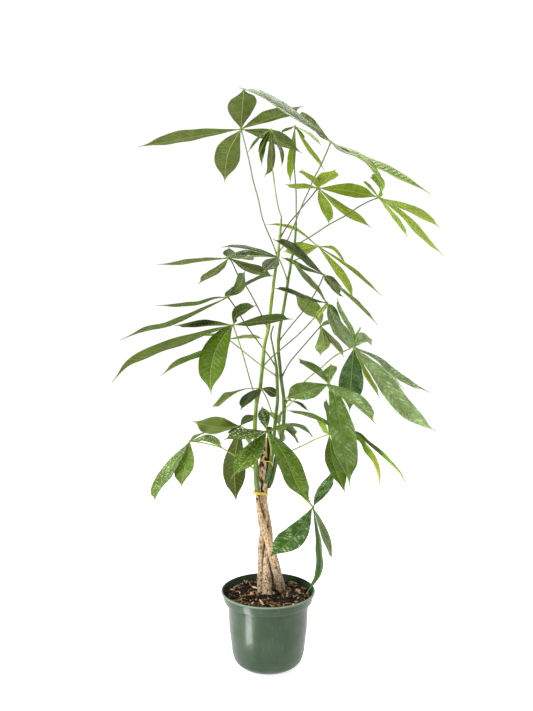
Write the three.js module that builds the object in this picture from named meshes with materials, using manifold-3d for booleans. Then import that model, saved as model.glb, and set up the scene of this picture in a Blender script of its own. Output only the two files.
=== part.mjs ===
// Potted money tree: a braided trunk, three green stems and palmate leaves in a nursery pot.
// Millimetres, +Z up, +Y away from the viewer. The origin is the centre of the pot's flat underside.

import * as THREE from 'three';
import { mergeVertices } from 'three/addons/utils/BufferGeometryUtils.js';
import Module from 'manifold-3d';

const wasm = await Module();
wasm.setup();

// Pot: a 165 mm nursery pot with a rolled lip and a collar
const POT_HEIGHT = 126.5;
const POT_FLOOR = 2.4;
const POT_FOOT_RADIUS = 45;
const POT_BODY = [[54, 3.2], [59.8, 9.5], [63, 20], [68.2, 62], [71, 107.6]];
const POT_COLLAR = [[77.6, 109], [80.4, 121.8]];
const POT_LIP = [[82.2, 122.8], [82.6, 125], [81.6, POT_HEIGHT]];
const POT_WALL = 1.7;
const POT_SIDES = 28;
const DRAIN_HOLES = 6;
const DRAIN_SIDES = 8;
const DRAIN_RADIUS = 4.5;
const DRAIN_CIRCLE = 36;

// Soil: filled to just under the lip and a little lumpy, with larger bark chips lying in its surface
const SOIL_HEIGHT = 118;
const SOIL_CORNER = [[74.5, 111.2], [76.4, 116]];
const SOIL_RINGS = [76, 65, 54, 44, 34, 24, 13];
const SOIL_SIDES = 22;
const SOIL_LUMPS = [1.1, 0.7];
const CHIP_COUNT = 12;
const CHIP_SIZE = { long: 15, wide: 5.5, thick: 3 };
const CHIP_LEAST = 0.6;
const CHIP_TILT = 0.5;
const CHIP_CLEAR = 16;
const CHIP_SPREAD = 52;
const CHIP_LIFT = 0.4;

// Clearance between pieces that touch
const GAP = 0.3;
const SOIL_GAP = 0.9;

// Trunk and stems: sides and steps of their tubes
const BARK_SIDES = 9;
const BARK_FLUTE = 0.05;
const STEM_SIDES = 8;
const STEM_STEPS = 22;
const PETIOLE_SIDES = 4;
const ROOT_DEPTH = 74;

// Leaves: thickness of a blade at its edge and at its rib, and its proportions
const BLADE_EDGE = 0.7;
const BLADE_RIB = 1.7;
const BLADE_BREADTH = 0.28;
const LEAST_BREADTH = 5;
const LEAST_HALF = 0.7;
const WIDEST = 1.25;
const BLADE_FOLD = 0.16;
const RIB_DROP = 0.6;
const BLADE_ARCH = 0.015;
const LARGE_BLADE = 135;
const PETIOLE_RADIUS = 1.35;
const PETIOLE_FOOT = 1.9;
const TOP_STALK_LEAD = 9;
const STALK_START = 0.5;
const HUB_RADIUS = 3.4;
const HUB_INSET = 1.3;

// Twist ties: the yellow one round the trunk's top and the thin one above it, each at a picture row
// and sloping by some rows to either side
const TIES = {
  twist_tie_lower: { colour: 0xe8c828, row: 493.5, slope: 0.4, radius: 1.3, steps: 16, tall: 1.9 },
  twist_tie_upper: { colour: 0xc8cc30, row: 462, slope: 4, radius: 0.6, steps: 16, tall: 1 },
};
const TIE_SIDES = 4;
const TIE_ROOM = 0.6;
const TIE_EAR = [-1.8, -1.4, 5];
const TIE_EAR_PLACE = 0.58;

// Picture measure: the trunk's axis stands 1086 mm from the eye, which is 537 mm high.
// Places given as [col, row] are where a point shows from there; a depth is its Y in millimetres.
const EYE = new THREE.Vector3(-2.8, -1086, 537);
const FOCAL = 617;
const CENTRE_COL = 266.5;
const CENTRE_ROW = 355.5;
const NEAR = -1;
const FAR = 1;
const TOP = 1;
const UNDER = -1;

// Trunk strands from the soil up: [col, row, depth, radius]
const STRANDS = {
  trunk_strand_front: {
    colour: 0xc2a27c,
    line: [
      [279.2, 590, 19, 10.6], [276.6, 575, 8, 9.4], [275.2, 565, -3.5, 7.9], [272.8, 556, -9, 7.2],
      [270, 545, -11, 7], [265.9, 535, -10.5, 6.5], [262.4, 525, -9, 6.4], [260.9, 518, -8, 6.2],
      [259.4, 510, -7, 4.9], [258.4, 502, -6, 4.3], [257.8, 494, -5.5, 4.2],
    ],
  },
  trunk_strand_left: {
    colour: 0xb89a74,
    line: [
      [261.8, 592, 15, 8.4], [261.9, 570, 14, 7.7], [261.6, 551, 12, 6.6], [261.9, 543, 10, 6.1],
      [264, 522, 4.5, 5.6], [264.4, 505, 4, 5.9], [263.4, 494, 5, 5.2], [263.3, 484, 5, 5.9],
      [262.5, 470, 4.5, 7.5], [263.8, 459, 5, 6.6], [265.3, 448, 5, 3.4], [266.6, 438, 5, 1.3],
    ],
  },
  trunk_strand_back: {
    colour: 0xa98c66,
    line: [
      [267.3, 596, -1.5, 8.5], [267, 575, 0, 7.4], [266.9, 562, 1.5, 6.2], [268.4, 548, 5, 6],
      [269.6, 538, 9.5, 5.8], [268, 522, 15, 5.6], [264.8, 505, 16.5, 5.4], [264.4, 494, 17, 5],
      [266.2, 484, 16.5, 5], [269, 462, 14.5, 4.4], [269.6, 427, 12.5, 4],
    ],
  },
};

// Green stems from the trunk up: [col, row, depth, radius]
const STEMS = {
  stem_left: {
    colour: 0x6f8f2c,
    line: [
      [257.9, 497, -5, 3.4], [257.4, 490, -5.5, 4.8], [256.5, 480, -7, 5], [256, 466, -8, 4.5],
      [255.4, 450, -8, 3.9], [254.9, 430, -8, 3.5], [255.6, 415, -7, 3.4], [257, 400, -6, 3.3],
      [260, 388, -6, 3.3], [262, 370, -5, 3.1], [263, 360, -5, 3.1], [264.5, 345, -4, 3],
      [268, 330, -3, 2.9], [270, 315, -2, 2.8], [272, 297, -1, 2.7], [274, 280, 0, 2.6],
      [276, 267, 0, 2.6], [278, 257, 0, 2.5], [279, 245, 0, 2.3], [280, 235, 0, 2.1],
      [281, 222, 0, 1.9],
    ],
  },
  stem_middle: {
    colour: 0x65832c,
    line: [
      [264.8, 483, -1, 3.2], [267.6, 478, 0.5, 3.9], [269.6, 470, 1, 4], [271.4, 458, 0, 3.7],
      [273, 445, 0, 3.3], [275, 425, 2, 3.1], [276, 415, 3, 2.9], [277.6, 400, 3, 2.9],
      [277.2, 385, 2, 2.8], [276.6, 370, 0, 2.6], [275, 358, -1, 1.9], [272.6, 345, 1, 1.5],
      [271, 335, 3, 1.3], [273.5, 326, 4, 1.1],
    ],
  },
  stem_right: {
    colour: 0x6b8a2e,
    line: [
      [268.8, 487.5, 14, 3.2], [271.4, 481, 10.5, 3.9], [274, 470, 10.5, 4.1], [276.6, 458, 10.5, 4],
      [280, 445, 9.5, 3.4], [283, 430, 9, 3.2], [284, 415, 10, 3.2], [284, 400, 10, 3.1],
      [282.4, 388, 11, 3], [281, 378, 11, 2.9], [279.8, 365, 11, 2.9], [278.5, 352, 11, 2.8],
      [278.6, 340, 10, 2.8], [280, 328, 9, 2.7], [283, 312, 8, 2.7], [285, 300, 8, 2.6],
      [287, 288, 8, 2.5], [288, 280, 8, 2.5], [290, 270, 8, 2.4], [291, 262, 9, 2.4],
      [293, 252, 10, 2.3], [295, 240, 13, 2.1], [296, 225, 18, 1.9],
    ],
  },
};

// A leaflet: where its tip shows, its length, whether it points to or from the viewer, the breadth
// that shows in the picture, which face shows, and the points that its midrib passes on the way.
// One whose widest part is nearer its tip says how much so.
function leaflet(tip, length, away, shows, face, ...via) {
  return { tip, length, away, shows, face, via };
}

// Leaves: the hub where the leaflets meet, and the stalk from the stem, joined at a picture row
const LEAVES = {
  leaf_01_top_left: {
    colour: 0x5f7330, hub: [241, 129], depth: 0, stem: 'stem_left', row: 256,
    stalk: [[272, 242], [263, 220], [258, 198], [253, 180], [250, 165], [246, 148]],
    leaflets: [
      leaflet([138, 147], 188, FAR, 11, UNDER, [190, 136]),
      leaflet([244, 88], 170, NEAR, 28, UNDER),
      leaflet([224.5, 182], 175, FAR, 29, UNDER, [228, 154]),
      leaflet([303, 106], 158, NEAR, 12, UNDER, [274, 115.5]),
      leaflet([302, 153], 142, FAR, 13, UNDER, [271, 136]),
    ],
  },
  leaf_02_top_bud: {
    colour: 0x4c6420, hub: [271, 129.5], depth: 0, stem: 'stem_left', row: null,
    stalk: [[279, 210], [276, 195], [274, 180], [272, 165], [271, 147]],
    leaflets: [
      leaflet([248, 152], 70, NEAR, 2.5, TOP, [260, 137]),
      leaflet([259, 156], 72, NEAR, 4, TOP, [264, 140]),
      leaflet([261.5, 166], 80, NEAR, 5, TOP, [264, 146]),
      leaflet([264, 177], 90, FAR, 8, TOP, [272, 150], [270, 167]),
      leaflet([282, 167], 82, NEAR, 4, TOP, [277, 142], [281, 152]),
    ],
  },
  leaf_03_top_young: {
    colour: 0x8fae3a, hub: [295, 126], depth: 116, stem: 'stem_right', row: null,
    stalk: [[296.2, 210], [296, 190], [294.5, 170], [294, 150]],
    leaflets: [
      leaflet([281, 133], 55, FAR, 3, UNDER),
      leaflet([290, 184], 125, FAR, 8, UNDER, [292.5, 152]),
      leaflet([325, 171], 128, FAR, 4.5, UNDER, [307, 146]),
      leaflet([322, 146], 85, NEAR, 2.5, TOP, [308, 133]),
      leaflet([303, 139], 80, FAR, 3.5, UNDER),
    ],
  },
  leaf_04_top_front: {
    colour: 0x7f9f6c, hub: [331, 142], depth: -150, stem: 'stem_left', row: 252,
    stalk: [[287, 241], [293, 228], [303, 203], [309, 190], [313, 180], [321, 165], [325, 156]],
    leaflets: [
      leaflet([239, 87.5], 172, NEAR, 7.5, TOP, [318, 131.5], [290, 112.5], [262, 95.5]),
      leaflet([297, 114], 140, FAR, 9, UNDER),
      leaflet([431, 194], 184, FAR, 7, TOP, [345, 150], [375, 164.5], [405, 179]),
      leaflet([385.5, 188], 140, NEAR, 4.5, TOP, [363, 158]),
      leaflet([359, 157], 95, NEAR, 5, TOP, [345, 151]),
    ],
  },
  leaf_05_upper_right: {
    colour: 0x86a63a, hub: [318, 188], depth: 0, stem: 'stem_left', row: 237,
    stalk: [[290, 222], [297, 214], [303, 206], [310, 198]],
    leaflets: [
      leaflet([285, 184.5], 88, NEAR, 5.5, UNDER, [300, 186.5]),
      leaflet([301, 169.5], 117, NEAR, 7, UNDER),
      leaflet([335.5, 169.5], 117, NEAR, 14, UNDER),
      leaflet([379, 197.5], 114, FAR, 13, UNDER, [348, 190]),
      leaflet([372, 228], 136, FAR, 8.5, UNDER, [344, 210]),
      leaflet([329, 224.5], 115, FAR, 11.5, UNDER, [325, 206]),
    ],
  },
  leaf_06_far_right: {
    colour: 0x94b440, hub: [379, 197.5], depth: -30, stem: 'stem_right', row: 246,
    stalk: [[310, 237], [330, 224], [345, 216], [360, 206], [372, 200]],
    leaflets: [
      leaflet([363, 181.5], 90, NEAR, 2.5, TOP),
      leaflet([370, 177], 122, NEAR, 8, TOP, [380.5, 187]),
      leaflet([441, 228], 150, FAR, 8, UNDER, [410, 209]),
      leaflet([444, 256], 164, NEAR, 6.5, UNDER, [400, 213.5], [421, 234.5]),
      leaflet([408, 237.5], 135, FAR, 4.8, UNDER, [392, 214]),
    ],
  },
  leaf_07_behind_right: {
    colour: 0x93b03c, hub: [318, 246], depth: 44, stem: 'stem_right', row: 262,
    stalk: [[304, 256]],
    leaflets: [
      leaflet([266, 224.5], 114, FAR, 2.5, UNDER, [297, 230], [280, 225]),
      leaflet([283, 252], 100, FAR, 14, UNDER),
      leaflet([348, 267], 88, NEAR, 3, UNDER, [333, 249]),
      leaflet([354, 300], 140, FAR, 8, UNDER, [333, 264], [344, 280]),
      leaflet([382, 296], 156, FAR, 3, UNDER, [350, 268]),
    ],
  },
  leaf_08_front_right: {
    colour: 0x3a5424, hub: [324, 275], depth: -60, stem: 'stem_right', row: 341,
    stalk: [[290, 327], [304, 310], [312, 298], [319, 286]],
    leaflets: [
      leaflet([273, 239], 150, NEAR, 9.5, TOP, [298, 253]),
      leaflet([281, 257], 108, NEAR, 4.5, TOP, [300, 266]),
      leaflet([339, 295.5], 92, NEAR, 7.5, TOP),
      leaflet([342, 287], 80, FAR, 4, TOP),
      leaflet([343.5, 297], 98, FAR, 3.5, TOP, [332, 287]),
      leaflet([378, 325], 138, FAR, 3, UNDER, [340, 288], [357, 303]),
    ],
  },
  leaf_09_front_middle: {
    colour: 0x4f6e2b, hub: [278, 257], depth: -18, stem: 'stem_right', row: 281,
    stalk: [[283, 268]],
    leaflets: [
      leaflet([221, 247], 110, NEAR, 3, TOP, [265, 252], [250, 248.5], [235, 246.5]),
      leaflet([223, 258], 104, NEAR, 5, TOP, [250, 253]),
      leaflet([237, 259], 88, FAR, 2.5, TOP, [257, 256]),
      leaflet([264, 272], 96, NEAR, 14, TOP),
    ],
  },
  leaf_10_upper_left: {
    colour: 0x4a6826, hub: [229, 258], depth: 26, stem: 'stem_left', row: 328,
    stalk: [[262, 316], [254, 300], [246, 286], [238, 275], [232, 262]],
    leaflets: [
      leaflet([229, 247.5], 76, NEAR, 13, TOP),
      leaflet([157, 264.5], 142, FAR, 4.5, TOP, [205, 260], [175, 263.5]),
      leaflet([198, 284], 122, NEAR, 8, TOP, [216, 270.5]),
      leaflet([273, 276], 116, FAR, 10, UNDER, [250, 268]),
      leaflet([255, 258], 100, FAR, 6, TOP),
    ],
  },
  leaf_11_left: {
    colour: 0x41602a, hub: [228, 297], depth: 12, stem: 'stem_middle', row: 366,
    stalk: [[270, 357.5], [262, 347], [246, 325], [235, 307]],
    leaflets: [
      leaflet([245, 271], 105, NEAR, 12, TOP, [240, 284]),
      leaflet([273, 276], 120, FAR, 3, UNDER, [245, 285], [262, 277]),
      leaflet([156, 305.5], 140, FAR, 4, TOP, [215, 298], [200, 303], [185, 305]),
      leaflet([120, 340], 212, NEAR, 4.5, TOP, [205, 308], [170, 324], [145, 330]),
      leaflet([232, 287], 90, FAR, 5, TOP),
    ],
  },
  leaf_12_left_front: {
    colour: 0x55762a, hub: [233, 325], depth: -60, stem: 'stem_left', row: 401,
    stalk: [[250, 380], [245, 362], [240, 345]],
    leaflets: [
      leaflet([174, 325.5], 136, FAR, 7, TOP, [204, 324]),
      leaflet([256, 305.5], 104, FAR, 11, UNDER, [237, 313]),
      leaflet([293, 319], 144, NEAR, 10, TOP, [262, 320.5]),
      leaflet([112, 382], 228, NEAR, 9.5, TOP, [215, 330], [180, 342], [150, 353], [128, 365]),
      leaflet([211, 394], 152, NEAR, 31, TOP, [225, 334], [215, 352], [210.5, 372]),
    ],
  },
  leaf_13_left_back: {
    colour: 0x5c7a30, hub: [228, 339], depth: 46, stem: 'stem_middle', row: 376,
    stalk: [[258, 363], [243, 351]],
    leaflets: [
      leaflet([263, 338.5], 104, FAR, 4, UNDER, [245, 337]),
      leaflet([203, 334], 100, FAR, 4, TOP),
      leaflet([160, 376], 156, NEAR, 6, TOP, [200, 354], [180, 362.5]),
      leaflet([214, 352], 96, FAR, 6, UNDER),
    ],
  },
  leaf_14_right_front: {
    colour: 0x567a48, hub: [327, 303], depth: -84, stem: 'stem_left', row: 366,
    stalk: [[272, 357], [285, 346], [300, 333], [315, 317]],
    leaflets: [
      leaflet([274, 288], 124, NEAR, 4.5, TOP, [310, 299], [290, 292]),
      leaflet([292, 261], 136, NEAR, 5.5, TOP, [318, 290], [304, 276]),
      leaflet([350, 349.5], 140, NEAR, 14, TOP, [337, 325], [345, 340]),
      leaflet([341, 320], 78, FAR, 4.5, TOP),
      leaflet([318, 318], 70, FAR, 6, UNDER),
    ],
  },
  leaf_15_right_back: {
    colour: 0x6f8a3c, hub: [321, 326], depth: 34, stem: 'stem_right', row: 377,
    stalk: [[290, 362], [300, 350], [313, 335]],
    leaflets: [
      leaflet([320, 356], 118, FAR, 15, UNDER, [323.5, 342]),
      leaflet([294, 293], 104, NEAR, 18, UNDER, [318, 314], [307, 304.5]),
      leaflet([344, 357], 118, FAR, 6.5, UNDER, [332, 340]),
      leaflet([339, 321], 96, FAR, 5, TOP),
      leaflet([325, 347], 96, FAR, 6, UNDER),
    ],
  },
  leaf_16_right: {
    colour: 0x6f9066, hub: [354, 347], depth: -100, stem: 'stem_right', row: 404,
    stalk: [[305, 381], [322, 367], [335, 356], [348, 349.5]],
    leaflets: [
      leaflet([337, 298], 138, FAR, 5.5, TOP, [350, 330], [343, 316]),
      leaflet([373, 340], 104, FAR, 13, TOP, [363, 339.5]),
      leaflet([360, 327], 88, FAR, 4, TOP),
      leaflet([430, 392.5], 156, FAR, 7, TOP, [375, 358], [400, 377.5]),
      leaflet([405, 390], 126, FAR, 3.5, UNDER, [380, 368]),
      leaflet([436, 431], 200, NEAR, 18, TOP, [369, 363.5], [381.5, 378], [401, 405], [418, 421]),
      leaflet([349.5, 412], 150, FAR, 28, TOP, [352, 368]),
      leaflet([380, 398], 118, FAR, 5, UNDER, [367, 376]),
    ],
  },
  leaf_17_right_low_front: {
    colour: 0x47682e, hub: [329, 384], depth: -140, stem: 'stem_right', row: 409,
    stalk: [[300, 396], [315, 390]],
    leaflets: [
      leaflet([285, 399], 118, NEAR, 19, TOP, [305, 391]),
      leaflet([298, 358], 112, FAR, 8, TOP, [313, 368]),
      leaflet([331, 364], 92, FAR, 14, TOP),
      leaflet([375.5, 424], 142, NEAR, 13, TOP, [337, 389], [357, 402]),
      leaflet([350, 487], 178, NEAR, 25, TOP, [335, 397], [341, 425], [346, 458]),
    ],
  },
  leaf_18_right_low: {
    colour: 0x7d9a3c, hub: [329, 434], depth: -60, stem: 'stem_right', row: 457,
    stalk: [[293, 450], [305, 444.5], [316, 439]],
    leaflets: [
      leaflet([316, 419], 88, FAR, 8, UNDER),
      leaflet([345.5, 494], 128, NEAR, 16, TOP, [333, 460]),
      leaflet([326, 398.5], 116, FAR, 8, TOP, [329, 416]),
      leaflet([286, 410], 124, FAR, 4.5, TOP, [330, 426], [318, 418.8], [303, 413.6]),
      leaflet([407.5, 490], 172, FAR, 2.4, TOP, [356, 433], [370, 443.8], [391, 462.5], [402, 475.5]),
      leaflet([379.4, 490], 146, FAR, 6, TOP, [358, 439], [366, 449.5], [374, 461], [379, 474]),
    ],
  },
  leaf_19_left_small: {
    colour: 0x48672a, hub: [261, 388], depth: -23, stem: 'stem_middle', row: 421,
    stalk: [[271, 410], [267, 399]],
    leaflets: [
      { ...leaflet([212, 407], 112, NEAR, 8, UNDER, [245, 389], [230, 395]), widest: 3.6 },
      leaflet([240.5, 410], 104, NEAR, 11, TOP, [251, 396]),
      leaflet([279, 397], 60, FAR, 13, TOP, [270, 391]),
    ],
  },
  leaf_20_left_low: {
    colour: 0x66803a, hub: [240, 426], depth: 22, stem: 'stem_left', row: 434,
    stalk: [[248, 430]],
    leaflets: [
      leaflet([193, 421.5], 130, NEAR, 18, UNDER, [216, 426]),
      leaflet([257, 415], 88, FAR, 9, TOP, [248.5, 419]),
      leaflet([230, 434], 78, NEAR, 4, TOP),
      leaflet([236, 503], 152, FAR, 23, UNDER, [237.5, 441], [234.5, 464]),
      leaflet([250, 446], 90, FAR, 6, UNDER),
    ],
  },
  leaf_21_left_lowest: {
    colour: 0x3f5f28, hub: [190, 441], depth: -20, stem: 'stem_left', row: 469,
    stalk: [[240, 459.5], [232, 454], [222, 448], [206, 443.5]],
    leaflets: [
      leaflet([154, 502], 150, NEAR, 13, TOP, [173, 463.5], [160, 485]),
      leaflet([181, 488], 122, NEAR, 18, TOP, [185, 465]),
      leaflet([223, 448], 104, NEAR, 8, TOP, [207, 439]),
      leaflet([205, 432], 80, FAR, 3, TOP),
    ],
  },
  leaf_22_front_low: {
    colour: 0x4f8008, hub: [267, 431], depth: -70, stem: 'stem_middle', row: 455,
    stalk: [[270, 443]],
    leaflets: [
      leaflet([262, 406], 74, FAR, 17, TOP),
      leaflet([224, 439.5], 118, NEAR, 12, TOP, [247, 434]),
      leaflet([231, 478.5], 138, NEAR, 20, TOP, [252, 452]),
      leaflet([312, 505], 160, NEAR, 22, TOP, [279, 446], [289.5, 465], [297.5, 484.5]),
      leaflet([287, 428], 104, NEAR, 6, TOP),
    ],
  },
  leaf_23_lowest_right: {
    colour: 0x2f5a24, hub: [313, 507], depth: -58, stem: 'stem_right', row: 461,
    stalk: [[287, 478], [300, 494]],
    leaflets: [
      leaflet([332, 471], 116, FAR, 12, TOP, [323.5, 491]),
      leaflet([268, 558], 150, NEAR, 23, TOP, [295, 535]),
      leaflet([306, 594], 148, NEAR, 7, TOP, [319, 545], [319, 573]),
      leaflet([332.5, 560], 128, FAR, 8, TOP, [322.5, 531], [329, 546]),
    ],
  },
  leaf_24_between_stems: {
    colour: 0x3f5a24, hub: [279.5, 425], depth: 27, stem: 'stem_right', row: 438,
    stalk: [[280, 431]],
    leaflets: [
      leaflet([298, 432], 80, FAR, 7, TOP),
      leaflet([300, 444], 90, FAR, 4, TOP, [292, 434]),
      leaflet([281, 442], 88, FAR, 8, UNDER),
      leaflet([271, 411], 86, FAR, 8, TOP),
      leaflet([281, 411], 80, FAR, 5, TOP),
      leaflet([314, 438], 102, FAR, 4, TOP, [297, 426], [306, 430]),
    ],
  },
  leaf_25_small: {
    colour: 0x47602c, hub: [290, 400], depth: 22, stem: 'stem_right', row: 401,
    stalk: [],
    leaflets: [
      leaflet([309, 411], 44, FAR, 3, TOP, [300, 404]),
    ],
  },
};

// A point of the plant from where it shows and how deep it lies
function seen(col, row, depth) {
  const far = depth - EYE.y;
  const x = EYE.x + (col - CENTRE_COL) * far / FOCAL;
  const z = EYE.z - (row - CENTRE_ROW) * far / FOCAL;
  return new THREE.Vector3(x, depth, z);
}

// The picture row at which a point shows
function rowOf(point) {
  return CENTRE_ROW + (EYE.z - point.z) * FOCAL / (point.y - EYE.y);
}

// The end of a leaflet of a given length, on the line of sight through its tip
function tipPoint(start, [col, row], length, away) {
  const ray = seen(col, row, EYE.y + 1).sub(EYE);
  const back = EYE.clone().sub(start);
  const square = ray.dot(ray);
  const half = ray.dot(back);
  const rest = half * half - square * (back.dot(back) - length * length);
  const along = (-half + away * Math.sqrt(Math.max(0, rest))) / square;
  return EYE.clone().addScaledVector(ray, along);
}

// A smooth line from one point to another through picture places, its depth changing evenly
function lineThrough(start, places, end) {
  const stops = places.map(([col, row]) => seen(col, row, (start.y + end.y) / 2));
  const path = [start, ...stops, end];
  const lengths = path.slice(1).map((point, i) => point.distanceTo(path[i]));
  const total = lengths.reduce((sum, length) => sum + length, 0);
  let run = 0;
  const inner = places.map(([col, row], i) => {
    run += lengths[i];
    return seen(col, row, start.y + (end.y - start.y) * run / total);
  });
  return new THREE.CatmullRomCurve3([start, ...inner, end]);
}

// A closed mesh from rows of points and triangles between them
function meshOf(points, triangles) {
  const geometry = new THREE.BufferGeometry().setFromPoints(points);
  geometry.setIndex(triangles);
  return geometry;
}

// A tube with closed ends along a curve, its radius given at each share of the length and angle,
// and its ends set further out by a lead
function tube(curve, steps, sides, radiusAt, lead = 0) {
  const frames = curve.computeFrenetFrames(steps, false);
  const centres = frames.tangents.map((along, i) => curve.getPointAt(i / steps));
  centres[0].addScaledVector(frames.tangents[0], -lead);
  centres[steps].addScaledVector(frames.tangents[steps], lead);
  const points = [];
  for (let i = 0; i <= steps; i += 1) {
    const centre = centres[i];
    for (let k = 0; k < sides; k += 1) {
      const angle = 2 * Math.PI * k / sides;
      const radius = radiusAt(i / steps, angle);
      points.push(centre.clone()
        .addScaledVector(frames.normals[i], radius * Math.cos(angle))
        .addScaledVector(frames.binormals[i], radius * Math.sin(angle)));
    }
  }
  const first = points.length;
  points.push(centres[0], centres[steps]);
  const triangles = [];
  for (let k = 0; k < sides; k += 1) {
    const next = (k + 1) % sides;
    for (let i = 0; i < steps; i += 1) {
      const low = i * sides;
      const high = low + sides;
      triangles.push(low + k, low + next, high + next, low + k, high + next, high + k);
    }
    const end = steps * sides;
    triangles.push(first, next, k, first + 1, end + k, end + next);
  }
  return meshOf(points, triangles);
}

// A ring-shaped tube along a closed curve
function loop(curve, steps, sides, radius) {
  const frames = curve.computeFrenetFrames(steps, true);
  const points = [];
  const triangles = [];
  for (let i = 0; i < steps; i += 1) {
    const centre = curve.getPointAt(i / steps);
    const low = i * sides;
    const high = ((i + 1) % steps) * sides;
    for (let k = 0; k < sides; k += 1) {
      const angle = 2 * Math.PI * k / sides;
      const next = (k + 1) % sides;
      points.push(centre.clone()
        .addScaledVector(frames.normals[i], radius * Math.cos(angle))
        .addScaledVector(frames.binormals[i], radius * Math.sin(angle)));
      triangles.push(low + k, low + next, high + next, low + k, high + next, high + k);
    }
  }
  return meshOf(points, triangles);
}

// Solids for joining and cutting, and back
function solid(geometry) {
  const bare = geometry.clone();
  bare.deleteAttribute('normal');
  bare.deleteAttribute('uv');
  const merged = mergeVertices(bare, 1e-4);
  return new wasm.Manifold(new wasm.Mesh({
    numProp: 3,
    vertProperties: merged.attributes.position.array,
    triVerts: new Uint32Array(merged.index.array),
  }));
}

function geometryOf(manifold) {
  const { vertProperties, triVerts } = manifold.getMesh();
  const geometry = new THREE.BufferGeometry();
  geometry.setAttribute('position', new THREE.BufferAttribute(vertProperties, 3));
  geometry.setIndex(new THREE.BufferAttribute(triVerts, 1));
  return geometry;
}

// The course and the radius of a stem or strand, given at the points of its line
function curveOf(line) {
  return new THREE.CatmullRomCurve3(line.map(([col, row, depth]) => seen(col, row, depth)));
}

function radiusAlong(points, radii) {
  const lengths = [0];
  points.slice(1).forEach((point, i) => lengths.push(lengths[i] + point.distanceTo(points[i])));
  const total = lengths[lengths.length - 1];
  return (share) => {
    const run = share * total;
    const i = Math.max(1, lengths.findIndex((length) => length >= run - 1e-6));
    const part = (run - lengths[i - 1]) / (lengths[i] - lengths[i - 1]);
    return radii[i - 1] + (radii[i] - radii[i - 1]) * Math.min(1, part);
  };
}

// The breadth of a blade from root to tip, as a share of its greatest
function bladeShare(t, widest) {
  return Math.sin(Math.PI * t ** widest) ** (0.9 + 0.2 * t) * (1 - 0.3 * t ** 8);
}

// One leaflet: a thin blade, folded a little upwards along its raised rib
function bladeGeometry(hub, { tip, length, away, shows, face, via, widest = WIDEST }) {
  const end = tipPoint(hub, tip, length, away);
  const start = hub.clone().lerp(end, HUB_INSET / hub.distanceTo(end));
  const straight = start.distanceTo(end);
  const breadth = Math.max(BLADE_BREADTH * straight, LEAST_BREADTH);
  const middle = start.clone().lerp(end, 0.5);
  const sight = EYE.clone().sub(middle).normalize();
  const lie = end.clone().sub(start).normalize();
  const across = lie.clone().cross(sight).normalize();
  const side = across.z < 0 ? -1 : 1;
  const shown = shows * (middle.y - EYE.y) / FOCAL;
  const flat = Math.min(1, shown / breadth);
  const edgeOn = Math.sqrt(1 - flat * flat);

  const upAt = (point, along) => {
    const toEye = EYE.clone().sub(point).normalize();
    const level = along.clone().cross(toEye).normalize().multiplyScalar(side);
    const facing = toEye.addScaledVector(along, -toEye.dot(along)).normalize();
    return facing.multiplyScalar(face * flat).addScaledVector(level, edgeOn).normalize();
  };

  const places = via.length > 0 ? lineThrough(start, via, end).points : [start, middle, end];
  if (via.length === 0) middle.addScaledVector(upAt(middle, lie), BLADE_ARCH * straight);
  const midrib = new THREE.CatmullRomCurve3(places);
  const stations = straight > LARGE_BLADE
    ? [0, 0.13, 0.33, 0.58, 0.82, 1]
    : [0, 0.18, 0.45, 0.76, 1];

  const points = [];
  for (const t of stations) {
    const centre = midrib.getPointAt(t);
    const along = midrib.getTangentAt(t);
    const up = upAt(centre, along);
    const right = along.clone().cross(up);
    const half = Math.max(breadth / 2 * bladeShare(t, widest), LEAST_HALF);
    const lift = BLADE_FOLD * half;
    centre.addScaledVector(up, -RIB_DROP * lift);
    for (const thick of [1, -1]) {
      const rib = centre.clone().addScaledVector(up, thick * BLADE_RIB / 2 * (1 - 0.5 * t));
      const edge = (turn) => centre.clone()
        .addScaledVector(right, turn * half)
        .addScaledVector(up, lift + thick * BLADE_EDGE / 2);
      points.push(edge(-1), rib, edge(1));
    }
  }
  return meshOf(points, bladeTriangles(stations.length));
}

// Triangles of a blade whose stations have left, rib and right points on top, then underneath
function bladeTriangles(count) {
  const triangles = [];
  for (let i = 0; i + 1 < count; i += 1) {
    const [left, rib, right, leftUnder, ribUnder, rightUnder] = [0, 1, 2, 3, 4, 5].map((k) => 6 * i + k);
    const on = 6;
    triangles.push(left, rib, rib + on, left, rib + on, left + on);
    triangles.push(rib, right, right + on, rib, right + on, rib + on);
    triangles.push(leftUnder, ribUnder + on, ribUnder, leftUnder, leftUnder + on, ribUnder + on);
    triangles.push(ribUnder, rightUnder + on, rightUnder, ribUnder, ribUnder + on, rightUnder + on);
    triangles.push(right, rightUnder, rightUnder + on, right, rightUnder + on, right + on);
    triangles.push(left, leftUnder + on, leftUnder, left, left + on, leftUnder + on);
  }
  const end = 6 * (count - 1);
  triangles.push(0, 3, 4, 0, 4, 1, 1, 4, 5, 1, 5, 2);
  triangles.push(end, end + 4, end + 3, end, end + 1, end + 4);
  triangles.push(end + 1, end + 5, end + 4, end + 1, end + 2, end + 5);
  return triangles;
}

// The share of a curve's length at which it shows at a picture row
function shareAtRow(curve, row) {
  const off = (t) => Math.abs(rowOf(curve.getPointAt(t)) - row);
  let share = 0;
  for (let t = 0; t <= 1; t += 0.002) {
    if (off(t) < off(share)) share = t;
  }
  return share;
}

// The stalk of a stem's last leaf, which carries the stem on from just above its end
function topStalk(curve, stalk, centre) {
  const onward = curve.getTangentAt(1);
  const start = curve.getPointAt(1).addScaledVector(onward, -GAP);
  const line = lineThrough(start, stalk, centre);
  line.points.splice(1, 0, start.clone().addScaledVector(onward, TOP_STALK_LEAD));
  return line;
}

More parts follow.
